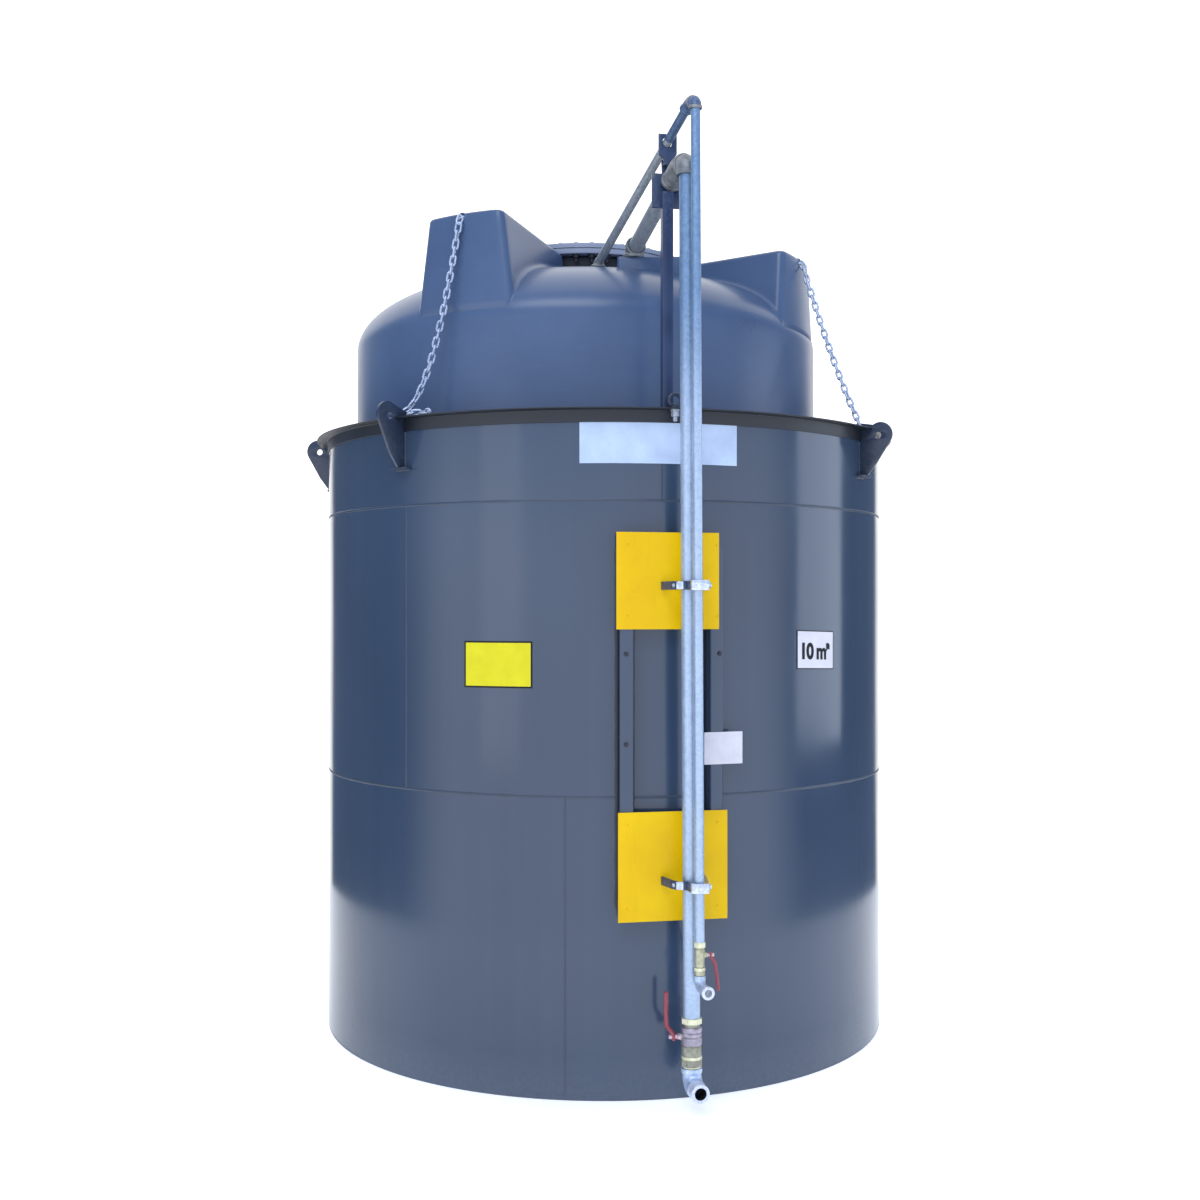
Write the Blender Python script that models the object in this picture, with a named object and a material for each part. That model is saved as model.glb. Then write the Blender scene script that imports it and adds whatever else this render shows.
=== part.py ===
"""A 10 cubic metre oil storage tank: a moulded plastic tank that stands in an open steel bund.

The bund is a welded cylinder with a rolled angle round its top. The tank inside it is held down by
three chains, and two galvanised lines run up the front, over the edge and down to the tank's roof.
Metres, +Z up. The origin is the centre of the bund's underside, and the pipes are at the front, -Y.
An azimuth is in degrees round the axis, from the front (-Y) towards the right (+X).
"""

import math

import bmesh
import bpy
from mathutils import Vector

# Driving dimensions

SEAT = 0.0003  # welded or resting faces are kept this far apart
ARC_STEP = 5.0  # degrees of arc to each flat of a round wall

BUND_RADIUS = 1.200
BUND_WALL = 0.005
BUND_FLOOR = 0.006
BUND_HEIGHT = 2.487
COURSE_TOPS = (1.090, 2.157)
COURSE_SEAMS = (-6.7, -38.6, 10.0)  # azimuth of one upright seam in each course, from the bottom
RIM_LEG = 0.050
RIM_THICKNESS = 0.005

LUG_THICKNESS = 0.012
LUG_FOOT = 2.300
LUG_HEAD = (0.085, 2.475)  # distance outside the wall, height
LUG_HEAD_RADIUS = 0.050
LUG_EYE = (0.078, 2.472)
LUG_EYE_RADIUS = 0.013
LIFTING_LUGS = (-93.0, 110.0, 161.0)
CHAIN_LUGS = (-39.0, 58.5, 210.0)
LIFTING_NOSE = -0.004  # a plain lug stops short of the wall's outer face
CHAIN_NOSE = 0.020  # how far a chain's lug reaches in over the rim

EYE_BOLT_AT = (12.0, 1.228)  # azimuth, distance from the bund's axis
EYE_BOLT_RING = (2.514, 0.030, 0.016)  # height of the ring's centre, radius outside, radius of its eye
EYE_BOLT_THICKNESS = 0.014
EYE_BOLT_SHANK = 0.008
EYE_BOLT_NUT = (2.457, 0.0150)  # height of its underside, radius
EYE_BOLT_END = 2.440

TANK_X = -0.080  # the tank stands a little left of the bund's axis
TANK_RADIUS = 1.000
TANK_WALL = 0.012
TANK_SHOULDER_Z = 2.836
TANK_DOME = (0.595, 0.320)  # how far in and how far up the domed shoulder runs from the wall
TANK_CROWN_Z = TANK_SHOULDER_Z + TANK_DOME[1]

# Azimuth about the tank's own axis, height of the top's outer edge, and its fall towards the axis
EARS = ((-28.1, 3.284, 0.050), (64.5, 3.221, 0.012), (198.0, 3.250, 0.029))
EAR_FOOT_Z = TANK_SHOULDER_Z + 0.025
EAR_REACH = (0.999, 0.985)  # distance of the outer face from the axis, at the foot and at the top
EAR_HALF_WIDTH = (0.212, 0.170)
EAR_INNER_END = (0.392, 0.400)
EAR_INNER_HALF = (0.152, 0.118)
EAR_EDGE = 0.012  # bevel round the top
EAR_CORNER = 0.022  # bevel of the upright corners

NECK_RADIUS = 0.380
FLANGE_RADIUS = 0.430
LID_TOP = 3.285
PAD_TOP = 3.154

CHAIN_THICK = 0.011
CHAIN_SAGS = (0.170, 0.035, 0.100)
CHAIN_HOLE_DROP = 0.022  # how far each chain's hole is below its ear's top

# The corners of each line's axis, from its valve up over the bund's edge to the tank's roof
LARGE_PIPE_RADIUS = 0.03015  # 2 inch pipe, 60.3 mm
LARGE_VALVE_XY = (0.309, -1.289)
LARGE_LINE = ((0.294, -1.289, 3.338), (0.270, -1.215, 3.347), (0.118, -0.694, 3.185))
SMALL_PIPE_RADIUS = 0.01685  # 1 inch pipe, 33.7 mm
SMALL_VALVE_XY = (0.333, -1.354)
SMALL_LINE = ((0.318, -1.354, 3.535), (0.299, -1.300, 3.541), (-0.024, -0.615, 3.150))

LARGE_VALVE_Z = (0.152, 0.328)
LARGE_STEM_Z = 0.259
SMALL_VALVE_Z = (0.492, 0.608)
SMALL_STEM_Z = 0.563
OUTLET_AZIMUTH = 14.0

POST_SIZE = 0.040
POST_AZIMUTH = 11.2
POST_TOP = 3.285
SADDLE_HALF = 0.006

PANEL_AZIMUTH = 11.35
RAIL_AZIMUTHS = (3.7, 19.0)
RAIL_SIZE = 0.050
RAIL_Z = (0.690, 1.990)
PLATE_THICKNESS = 0.003
CLAMP_HEIGHT = 0.035


def srgb(code):
    """The linear colour of a six-figure hexadecimal code."""
    parts = [int(code[i : i + 2], 16) / 255 for i in (0, 2, 4)]
    return [c / 12.92 if c <= 0.04045 else ((c + 0.055) / 1.055) ** 2.4 for c in parts] + [1.0]


def finish_of(name, code, roughness, metallic):
    material = bpy.data.materials.new(name)
    material.use_nodes = True
    shader = material.node_tree.nodes["Principled BSDF"]
    shader.inputs["Base Color"].default_value = srgb(code)
    shader.inputs["Roughness"].default_value = roughness
    shader.inputs["Metallic"].default_value = metallic
    return material


# Building the solids


def outward(azimuth):
    """The level direction that points out from the axis at this azimuth."""
    a = math.radians(azimuth)
    return Vector((math.sin(a), -math.cos(a), 0))


def along(azimuth):
    """The level direction that runs round the axis at this azimuth, to the right seen from outside."""
    a = math.radians(azimuth)
    return Vector((math.cos(a), math.sin(a), 0))


def flat_plan(a, b, c):
    """An outline drawn in plan (x, y) and drawn out upwards."""
    return Vector((a, b, c))


def upright(a, b, c):
    """An outline drawn as (distance towards -Y, height) and drawn out along X."""
    return Vector((c, -a, b))


def facing(a, b, c):
    """An outline drawn as (x, height) and drawn out towards -Y."""
    return Vector((a, -c, b))


def named(name, mesh, material=None):
    """An object from a bmesh, with its faces pointing out and its round faces smooth."""
    bmesh.ops.remove_doubles(mesh, verts=mesh.verts, dist=1e-6)
    bmesh.ops.recalc_face_normals(mesh, faces=mesh.faces)
    data = bpy.data.meshes.new(name)
    mesh.to_mesh(data)
    mesh.free()
    data.shade_smooth()
    data.set_sharp_from_angle(angle=math.radians(30))
    if material:
        data.materials.append(material)
    piece = bpy.data.objects.new(name, data)
    bpy.context.collection.objects.link(piece)
    return piece


def loop_of(mesh, points):
    """Joins points into a closed loop of edges."""
    verts = [mesh.verts.new(p) for p in points]
    edges = [mesh.edges.new((verts[i - 1], verts[i])) for i in range(len(verts))]
    return verts, edges


def extruded(name, outline, start, end, lay, material=None):
    """A flat outline made solid between two distances."""
    mesh = bmesh.new()
    verts, _ = loop_of(mesh, [lay(a, b, start) for a, b in outline])
    made = bmesh.ops.extrude_face_region(mesh, geom=[mesh.faces.new(verts)])
    moved = [v for v in made["geom"] if isinstance(v, bmesh.types.BMVert)]
    bmesh.ops.translate(mesh, verts=moved, vec=lay(0, 0, end - start))
    return named(name, mesh, material)


def turned(name, profile, material=None, first=0.0, sweep=360.0, step=ARC_STEP):
    """An outline (radius, height) turned about the Z axis from the first azimuth."""
    mesh = bmesh.new()
    out = outward(first)
    verts, edges = loop_of(mesh, [out * r + Vector((0, 0, z)) for r, z in profile])
    closed = sweep >= 360
    if not closed:
        mesh.faces.new(verts)
    made = bmesh.ops.spin(
        mesh,
        geom=verts + edges,
        cent=(0, 0, 0),
        axis=(0, 0, 1),
        angle=math.radians(sweep),
        steps=round(sweep / step),
        use_merge=closed,
    )
    if not closed:
        last = [e for e in made["geom_last"] if isinstance(e, bmesh.types.BMEdge)]
        bmesh.ops.edgeloop_fill(mesh, edges=last)
    return named(name, mesh, material)


def rod(name, start, end, radius, material=None, sides=16):
    """A round bar between two points."""
    start, end = Vector(start), Vector(end)
    mesh = bmesh.new()
    bmesh.ops.create_cone(
        mesh,
        cap_ends=True,
        segments=sides,
        radius1=radius,
        radius2=radius,
        depth=(end - start).length,
    )
    piece = named(name, mesh, material)
    piece.location = (start + end) / 2
    piece.rotation_mode = "QUATERNION"
    piece.rotation_quaternion = (end - start).to_track_quat("Z", "Y")
    return piece


def ball(name, centre, radius):
    mesh = bmesh.new()
    bmesh.ops.create_uvsphere(mesh, u_segments=12, v_segments=8, radius=radius)
    piece = named(name, mesh)
    piece.location = centre
    return piece


def boolean(piece, operation, tools):
    """Adds or cuts with helper shapes, which are left out of the model."""
    for tool in tools:
        change = piece.modifiers.new(tool.name, "BOOLEAN")
        change.operation = operation
        change.solver = "EXACT"
        change.object = tool
        tool.hide_render = True
        tool.display_type = "WIRE"
    return piece


def fuse(piece, *tools):
    return boolean(piece, "UNION", tools)


def cut(piece, *tools):
    return boolean(piece, "DIFFERENCE", tools)


def arc(centre, radius, first, last, steps):
    """Points on a circle, the angles counted from the first axis towards the second."""
    angles = [math.radians(first + (last - first) * i / steps) for i in range(steps + 1)]
    return [(centre[0] + radius * math.cos(a), centre[1] + radius * math.sin(a)) for a in angles]


def flat_radius(azimuth, seam, radius=BUND_RADIUS):
    """How far out the flat-sided wall reaches at an azimuth."""
    off = (azimuth - seam) % ARC_STEP - ARC_STEP / 2
    return radius * math.cos(math.radians(ARC_STEP / 2)) / math.cos(math.radians(off))


# The bund


def make_bund():
    steel = finish_of("bund_steel", "46536B", 0.25, 0.0)
    rim_steel = finish_of("rim_steel", "2F3945", 0.4, 0.0)
    floor = [(0, 0), (BUND_RADIUS, 0), (BUND_RADIUS, BUND_FLOOR), (0, BUND_FLOOR)]
    turned("bund_floor", floor, steel)
    names = ("lower", "middle", "upper")
    bottoms = (BUND_FLOOR, *COURSE_TOPS)
    tops = (*COURSE_TOPS, BUND_HEIGHT - RIM_THICKNESS)
    inner = BUND_RADIUS - BUND_WALL
    joint = math.degrees(SEAT / BUND_RADIUS)
    for name, bottom, top, seam in zip(names, bottoms, tops, COURSE_SEAMS):
        low, high = bottom + SEAT, top
        plate = [(inner, low), (BUND_RADIUS, low), (BUND_RADIUS, high), (inner, high)]
        turned(f"bund_{name}_course_right", plate, steel, seam, 180 - joint)
        turned(f"bund_{name}_course_left", plate, steel, seam + 180, 180 - joint)
    under = BUND_HEIGHT - RIM_THICKNESS + SEAT
    leg_inner = BUND_RADIUS + SEAT
    leg_outer = leg_inner + RIM_THICKNESS
    angle_bar = [
        (inner, under),
        (leg_inner, under),
        (leg_inner, BUND_HEIGHT - RIM_LEG),
        (leg_outer, BUND_HEIGHT - RIM_LEG),
        (leg_outer, under),
        (BUND_RADIUS + RIM_LEG, under),
        (BUND_RADIUS + RIM_LEG, BUND_HEIGHT),
        (inner, BUND_HEIGHT),
    ]
    rim = turned("bund_rim", angle_bar, rim_steel, COURSE_SEAMS[-1])
    azimuth, distance = EYE_BOLT_AT
    at = outward(azimuth) * distance
    low, high = at + Vector((0, 0, BUND_HEIGHT - 0.02)), at + Vector((0, 0, BUND_HEIGHT + 0.02))
    cut(rim, rod("eye_bolt_way", low, high, EYE_BOLT_SHANK + SEAT * 2))


def make_lug(name, azimuth, nose, material):
    """A radial plate, notched round the rim's angle bar, on a small foot plate.

    Its top runs inwards over the rim as a nose, which a chain is hooked on where there is one.
    """
    seam = COURSE_SEAMS[-1]
    wall = flat_radius(azimuth, seam) + SEAT * 1.5
    over = BUND_HEIGHT + SEAT
    under = BUND_HEIGHT - RIM_THICKNESS
    flange = RIM_LEG + SEAT * 2
    leg = RIM_THICKNESS + SEAT * 3
    outline = [
        (wall, LUG_FOOT),
        (wall + 0.035, LUG_FOOT),
        (wall + 0.076, LUG_FOOT + 0.055),
    ]
    head = arc((wall + LUG_HEAD[0], LUG_HEAD[1]), LUG_HEAD_RADIUS, -30, 150, 9)
    outline += head
    outline += [
        (wall - nose + 0.008, over + 0.022),
        (wall - nose, over + 0.014),
        (wall - nose, over),
        (wall + flange, over),
        (wall + flange, under),
        (wall + leg, under),
        (wall + leg, BUND_HEIGHT - RIM_LEG - SEAT),
        (wall, BUND_HEIGHT - RIM_LEG - SEAT),
    ]
    half = LUG_THICKNESS / 2
    lug = extruded(name, outline, -half, half, upright, material)
    near, far = BUND_RADIUS + SEAT, BUND_RADIUS + 0.035
    foot = [(near, LUG_FOOT - 0.008), (far, LUG_FOOT - 0.008)]
    foot += [(far, LUG_FOOT + 0.0005), (near, LUG_FOOT + 0.0005)]
    shelf = extruded(f"{name}_shelf", foot, -0.0425, 0.0425, upright)
    eye_at = wall + LUG_EYE[0]
    eye = rod(f"{name}_eye", (-0.02, -eye_at, LUG_EYE[1]), (0.02, -eye_at, LUG_EYE[1]), LUG_EYE_RADIUS)
    shelf.parent = lug
    eye.parent = lug
    lug.rotation_euler.z = math.radians(azimuth)
    fuse(lug, shelf)
    cut(lug, eye)


def make_eye_bolt(material):
    """A ring that faces outwards on the rim's flange, with its shank through the flange and a nut under it."""
    azimuth, distance = EYE_BOLT_AT
    height, outer, inner = EYE_BOLT_RING
    on, under = BUND_HEIGHT + SEAT, BUND_HEIGHT - RIM_THICKNESS
    outline = [*arc((0, height), outer, -40, 220, 12), (-0.018, on), (0.018, on)]
    half = EYE_BOLT_THICKNESS / 2
    ring = extruded("rim_eye_bolt", outline, distance - half, distance + half, facing, material)
    eye = rod("rim_eye_bolt_eye", (0, -distance - 0.02, height), (0, -distance + 0.02, height), inner)
    at = Vector((0, -distance, 0))
    top, end = at + Vector((0, 0, on + 0.006)), at + Vector((0, 0, EYE_BOLT_END))
    collar = rod("rim_eye_bolt_collar", at + Vector((0, 0, on)), top, 0.018)
    shank = rod("rim_eye_bolt_shank", end, at + Vector((0, 0, on + 0.003)), EYE_BOLT_SHANK)
    nut_low, nut_radius = EYE_BOLT_NUT
    nut_top = at + Vector((0, 0, under))
    nut = rod("rim_eye_bolt_nut", at + Vector((0, 0, nut_low)), nut_top, nut_radius, sides=6)
    for tool in (eye, collar, shank, nut):
        tool.parent = ring
    ring.rotation_euler.z = math.radians(azimuth)
    cut(ring, eye)
    fuse(ring, collar, shank, nut)


def make_lugs():
    steel = finish_of("lug_steel", "38455C", 0.4, 0.0)
    make_eye_bolt(steel)
    for i, azimuth in enumerate(LIFTING_LUGS, 1):
        make_lug(f"lifting_lug_{i}", azimuth, LIFTING_NOSE, steel)
    for i, azimuth in enumerate(CHAIN_LUGS, 1):
        make_lug(f"chain_lug_{i}", azimuth, CHAIN_NOSE, steel)


# The inner tank


def roof_line(offset, inner_end):
    """The roof's outline in section, offset outwards, from the shoulder to its inner end."""
    across, up = TANK_DOME[0] + offset, TANK_DOME[1] + offset
    quarter = arc((0, 0), 1, 0, 90, 9)
    dome = [(TANK_RADIUS - TANK_DOME[0] + across * a, TANK_SHOULDER_Z + up * b) for a, b in quarter]
    return dome + [(inner_end, TANK_CROWN_Z + offset)]


def roof_envelope(name):
    """The space that the tank fills, for cutting what sits on its roof."""
    line = roof_line(SEAT * 1.5, NECK_RADIUS)
    radius = TANK_RADIUS + SEAT * 1.5
    low = TANK_SHOULDER_Z - 0.3
    profile = [(0, low), (radius, low), *line, (0, line[-1][1])]
    envelope = turned(name, profile)
    envelope.location.x = TANK_X
    return envelope


def make_tank(plastic):
    inner = TANK_RADIUS - TANK_WALL
    low = BUND_FLOOR + SEAT
    high = low + TANK_WALL
    base = turned("tank_floor", [(0, low), (TANK_RADIUS, low), (TANK_RADIUS, high), (0, high)], plastic)
    base.location.x = TANK_X
    bottom, top = high + SEAT, TANK_SHOULDER_Z - SEAT
    wall = [(inner, bottom), (TANK_RADIUS, bottom), (TANK_RADIUS, top), (inner, top)]
    joint = math.degrees(SEAT / TANK_RADIUS)
    for name, first in (("front", -60), ("right", 60), ("left", 180)):
        side = turned(f"tank_wall_{name}", wall, plastic, first, 120 - joint)
        side.location.x = TANK_X
    hole = NECK_RADIUS - 0.02
    roof = turned("tank_roof", roof_line(0, hole) + roof_line(-TANK_WALL, hole)[::-1], plastic)
    roof.location.x = TANK_X


def ear_top(ear, distance):
    """How high an ear's top is at a distance from the tank's axis. It falls towards the axis."""
    _, top, fall = ear
    reach, inner_end = EAR_REACH[1], EAR_INNER_END[1]
    return top - fall * (reach - distance) / (reach - inner_end)


def ear_outline(share, inset):
    """An ear's outline in plan, at a share of its height. Its outer end is curved with the wall."""
    reach, half, inner_end, inner_half = (
        foot + (top - foot) * share
        for foot, top in (EAR_REACH, EAR_HALF_WIDTH, EAR_INNER_END, EAR_INNER_HALF)
    )
    reach, half, inner_end, inner_half = reach - inset, half - inset, inner_end + inset, inner_half - inset
    sweep = math.degrees(math.asin((half - EAR_CORNER) / reach))
    curved = arc((0, 0), reach, -90 - sweep, -90 + sweep, 4)
    side = EAR_CORNER * 1.6 - reach
    return [(-half, side), *curved, (half, side), (inner_half, -inner_end), (-inner_half, -inner_end)]


def make_ear(name, ear, plastic):
    """A moulded block on the shoulder: flush with the wall, tapered, and sloped at its inner end."""
    azimuth, top, _ = ear
    below = 1 - EAR_EDGE / (top - EAR_FOOT_Z)
    mesh = bmesh.new()
    rings = (
        [(x, y, EAR_FOOT_Z) for x, y in ear_outline(0, 0)],
        [(x, y, ear_top(ear, -y) - EAR_EDGE) for x, y in ear_outline(below, 0)],
        [(x, y, ear_top(ear, -y)) for x, y in ear_outline(1, EAR_EDGE)],
    )
    loops = [loop_of(mesh, ring) for ring in rings]
    mesh.faces.new(loops[0][0])
    mesh.faces.new(loops[2][0])
    bmesh.ops.bridge_loops(mesh, edges=loops[0][1] + loops[1][1])
    bmesh.ops.bridge_loops(mesh, edges=loops[1][1] + loops[2][1])
    block = named(name, mesh, plastic)
    block.location.x = TANK_X
    block.rotation_euler.z = math.radians(azimuth)
    inner, outer = (chain_hole(ear, depth) for depth in (0.0305, -0.02))
    hole = rod(f"{name}_hole", inner, outer, CHAIN_THICK + SEAT * 2)
    cut(block, roof_envelope(f"{name}_seat"), hole)


def chain_hole(ear, depth):
    """A point on the axis of the hole that takes the chain, at a depth below the ear's outer face."""
    level = Vector((TANK_X, 0, ear[1] - CHAIN_HOLE_DROP))
    return level + outward(ear[0]) * (EAR_REACH[1] - depth)


def make_manway(plastic):
    """A neck with a flange on the roof, and the flat lid that closes it."""
    low = TANK_CROWN_Z + SEAT
    flange_z = (LID_TOP - 0.045, LID_TOP - 0.021)
    bore = NECK_RADIUS - 0.018
    neck = [
        (bore, low),
        (NECK_RADIUS - 0.002, low),
        (NECK_RADIUS - 0.002, flange_z[0]),
        (FLANGE_RADIUS, flange_z[0]),
        (FLANGE_RADIUS, flange_z[1]),
        (bore, flange_z[1]),
    ]
    ring = turned("manway_neck", neck, plastic)
    bottom = flange_z[1] + SEAT
    rim = FLANGE_RADIUS + 0.004
    lid = [(0, bottom), (rim, bottom), (rim, LID_TOP - 0.003), (rim - 0.012, LID_TOP), (0, LID_TOP)]
    cover = turned("manway_lid", lid, finish_of("lid_plastic", "5C6A86", 0.5, 0.0))
    for piece in (ring, cover):
        piece.location.x = TANK_X
    plan = [(0.052, -0.72), (0.330, -0.72), (0.330, -0.50), (0.052, -0.50)]
    pad = extruded("pipe_pad", plan, TANK_SHOULDER_Z + 0.05, PAD_TOP, flat_plan, plastic)
    cut(pad, roof_envelope("pipe_pad_seat"))


# The chains


def make_chain(name, ear, lug_azimuth, sag, zinc):
    """One tie-down chain as a plain bar, from the hole in the ear to the lug's nose."""
    wall = flat_radius(lug_azimuth, COURSE_SEAMS[-1])
    nose = outward(lug_azimuth) * (wall - 0.006) + Vector((0, 0, BUND_HEIGHT + 0.028))
    points = [chain_hole(ear, 0.030), chain_hole(ear, -0.009)]
    edge = chain_hole(ear, -0.0165) - Vector((0, 0, 0.014))
    steps = 8
    for i in range(steps + 1):
        share = i / steps
        drop = Vector((0, 0, 4 * sag * share * (1 - share)))
        points.append(edge.lerp(nose, share) - drop)
    line = bpy.data.curves.new(name, "CURVE")
    line.dimensions = "3D"
    line.bevel_depth = CHAIN_THICK
    line.bevel_resolution = 2
    line.use_fill_caps = True
    spline = line.splines.new("POLY")
    spline.points.add(len(points) - 1)
    for point, place in zip(spline.points, points):
        point.co = (*place, 1)
    bar = bpy.data.objects.new(name, line)
    bpy.context.collection.objects.link(bar)
    mesh = bpy.data.meshes.new_from_object(bar)
    bpy.data.objects.remove(bar)
    work = bmesh.new()
    work.from_mesh(mesh)
    chain = named(name, work, zinc)
    jaw = 0.013
    low = BUND_HEIGHT + SEAT
    high = low + 0.034
    block = [(wall - 0.019, low), (wall + 0.007, low), (wall + 0.007, high), (wall - 0.019, high)]
    fork = extruded(f"{name}_fork", block, -jaw, jaw, upright)
    slot_half = LUG_THICKNESS / 2 + SEAT * 1.5
    floor, roof = low - 0.01, low + 0.0235
    slot = [(wall - 0.03, floor), (wall + 0.03, floor), (wall + 0.03, roof), (wall - 0.03, roof)]
    gap = extruded(f"{name}_slot", slot, -slot_half, slot_half, upright)
    for tool in (fork, gap):
        tool.rotation_euler.z = math.radians(lug_azimuth)
    fuse(chain, fork)
    cut(chain, gap)


def make_chains():
    zinc = finish_of("chain_zinc", "A9B6CC", 0.35, 0.9)
    for i, (ear, lug_azimuth, sag) in enumerate(zip(EARS, CHAIN_LUGS, CHAIN_SAGS), 1):
        make_chain(f"tie_chain_{i}", ear, lug_azimuth, sag, zinc)


# The two lines and what holds them


def large_line():
    """The corners of the 2 inch line's axis, from its valve to the pad on the roof."""
    return [Vector((*LARGE_VALVE_XY, LARGE_VALVE_Z[1] + SEAT))] + [Vector(p) for p in LARGE_LINE]


def small_line():
    """The corners of the 1 inch line's axis, from its valve to the roof."""
    return [Vector((*SMALL_VALVE_XY, SMALL_VALVE_Z[1] + SEAT))] + [Vector(p) for p in SMALL_LINE]


def make_pipes():
    zinc = finish_of("pipe_zinc", "B9C6DA", 0.4, 0.9)
    start, corner, second, end = large_line()
    pipe = rod("large_pipe", start, corner, LARGE_PIPE_RADIUS, zinc)
    link = rod("large_pipe_link", corner, second, LARGE_PIPE_RADIUS + 0.006)
    run = rod("large_pipe_run", second, end, LARGE_PIPE_RADIUS)
    elbow = ball("large_pipe_elbow_1", corner, 0.040)
    bend = ball("large_pipe_elbow_2", second, 0.040)
    foot = rod("large_pipe_foot", (end.x, end.y, PAD_TOP + SEAT), (end.x, end.y, end.z), 0.044)
    shoe = ball("large_pipe_shoe", end, 0.040)
    pad = [(0, -1), (0.3, -1), (0.3, 0), (0, 0)]
    cut(shoe, extruded("large_pipe_shoe_seat", pad, 3.0, PAD_TOP + SEAT, flat_plan))
    fuse(pipe, link, run, elbow, bend, foot, shoe)

    start, corner, second, end = small_line()
    pipe = rod("small_pipe", start, corner, SMALL_PIPE_RADIUS, zinc)
    link = rod("small_pipe_link", corner, second, SMALL_PIPE_RADIUS + 0.003)
    run = rod("small_pipe_run", second, end, SMALL_PIPE_RADIUS)
    top = ball("small_pipe_elbow_1", corner, 0.025)
    bend = ball("small_pipe_elbow_2", second, 0.025)
    foot = rod("small_pipe_foot", (end.x, end.y, 3.0), (end.x, end.y, end.z + 0.004), 0.024)
    fuse(pipe, link, run, top, bend, foot)
    cut(pipe, roof_envelope("small_pipe_seat"))


def make_post():
    """A square tube inside the bund wall, with two notched plates that steady the lines."""
    steel = finish_of("post_steel", "2F4263", 0.45, 0.0)
    half = POST_SIZE / 2
    far = BUND_RADIUS - BUND_WALL - 0.0015
    near = far - POST_SIZE
    section = [(-half, -far), (half, -far), (half, -near), (-half, -near)]
    post = extruded("pipe_post", section, BUND_FLOOR + SEAT, POST_TOP, flat_plan, steel)
    turn = math.radians(POST_AZIMUTH)
    post.rotation_euler.z = turn
    middle = (far + near) / 2
    back, front = middle - SADDLE_HALF, middle + SADDLE_HALF
    # One plate, cut out as a wide foot, a narrow neck and a head
    saddle = [
        (-0.055, 3.222),
        (0.066, 3.222),
        (0.066, 3.343),
        (-0.010, 3.343),
        (-0.010, 3.405),
        (0.0275, 3.405),
        (0.0275, 3.485),
        (-0.035, 3.485),
        (-0.035, 3.405),
        (-0.025, 3.405),
        (-0.025, 3.343),
        (-0.055, 3.310),
    ]
    plate = extruded("saddle", saddle, back, front, facing)
    plate.rotation_euler.z = turn
    _, _, corner, end = large_line()
    large_way = rod("large_pipe_way", corner, end, LARGE_PIPE_RADIUS + 0.0006)
    _, _, corner, end = small_line()
    small_way = rod("small_pipe_way", corner, end, SMALL_PIPE_RADIUS + 0.0005)
    fuse(post, plate)
    cut(post, large_way, small_way)


def make_rails():
    steel = finish_of("rail_steel", "46536B", 0.3, 0.0)
    half = RAIL_SIZE / 2
    for name, azimuth in zip(("left", "right"), RAIL_AZIMUTHS):
        near = BUND_RADIUS + SEAT * 1.5
        far = near + RAIL_SIZE
        section = [(-half, -far), (half, -far), (half, -near), (-half, -near)]
        rail = extruded(f"panel_rail_{name}", section, *RAIL_Z, flat_plan, steel)
        rail.rotation_euler.z = math.radians(azimuth)


def panel_back():
    """How far out the flat plates' backs lie, so that they touch the rails' inner corners."""
    off = math.radians((RAIL_AZIMUTHS[1] - RAIL_AZIMUTHS[0]) / 2)
    front = BUND_RADIUS + RAIL_SIZE + SEAT * 1.5
    return front * math.cos(off) + RAIL_SIZE / 2 * math.sin(off) + SEAT


def make_plates():
    yellow = finish_of("yellow_paint", "ECC716", 0.4, 0.0)
    back = panel_back()
    sizes = {"upper": (-0.205, 0.172, 1.694, 2.040), "lower": (-0.199, 0.203, 0.653, 1.043)}
    for name, (left, right, low, high) in sizes.items():
        outline = [(left, low), (right, low), (right, high), (left, high)]
        plate = extruded(f"{name}_plate", outline, back, back + PLATE_THICKNESS, facing, yellow)
        plate.rotation_euler.z = math.radians(PANEL_AZIMUTH)


def make_clamps():
    """Brackets from the yellow plates to the pipes, each a block with both pipes through it."""
    zinc = finish_of("clamp_zinc", "8FA0BC", 0.4, 0.8)
    front = panel_back() + PLATE_THICKNESS + SEAT
    out, side = outward(PANEL_AZIMUTH), along(PANEL_AZIMUTH)
    base = [out * front + side * -0.024, out * front + side * 0.118]
    tip = [Vector((0.3525, -1.380, 0)), Vector((0.2836, -1.380, 0))]
    waist = [Vector((0.358, -1.318, 0)), Vector((0.262, -1.318, 0))]
    plan = [base[0], base[1], waist[0], tip[0], tip[1], waist[1]]
    for name, height in (("upper", 1.849), ("lower", 0.798)):
        low = height - CLAMP_HEIGHT / 2
        outline = [(p.x, p.y) for p in plan]
        clamp = extruded(f"{name}_pipe_clamp", outline, low, low + CLAMP_HEIGHT, flat_plan, zinc)
        for label, line, radius in (
            ("large", large_line(), LARGE_PIPE_RADIUS),
            ("small", small_line(), SMALL_PIPE_RADIUS),
        ):
            cut(clamp, rod(f"{name}_{label}_way", line[0], line[1], radius + SEAT * 2))


# The valves


def make_valve(name, place, levels, widths, boss, brass):
    """A ball valve on an upright line: two end nuts, a body between, and a boss for the stem."""
    low, high = levels
    nut, body = widths
    third = (high - low) * 0.17
    profile = [
        (0, low),
        (nut, low),
        (nut, low + third),
        (body, low + third * 1.4),
        (body, high - third * 1.4),
        (nut * 0.94, high - third),
        (nut * 0.94, high),
        (0, high),
    ]
    valve = turned(f"{name}_valve", profile, brass, step=360 / 12)
    valve.location = (*place, 0)
    boss_end, boss_radius, stem_z = boss
    gland = rod(f"{name}_gland", (place[0], place[1], stem_z), (boss_end, place[1], stem_z), boss_radius)
    fuse(valve, gland)


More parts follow.
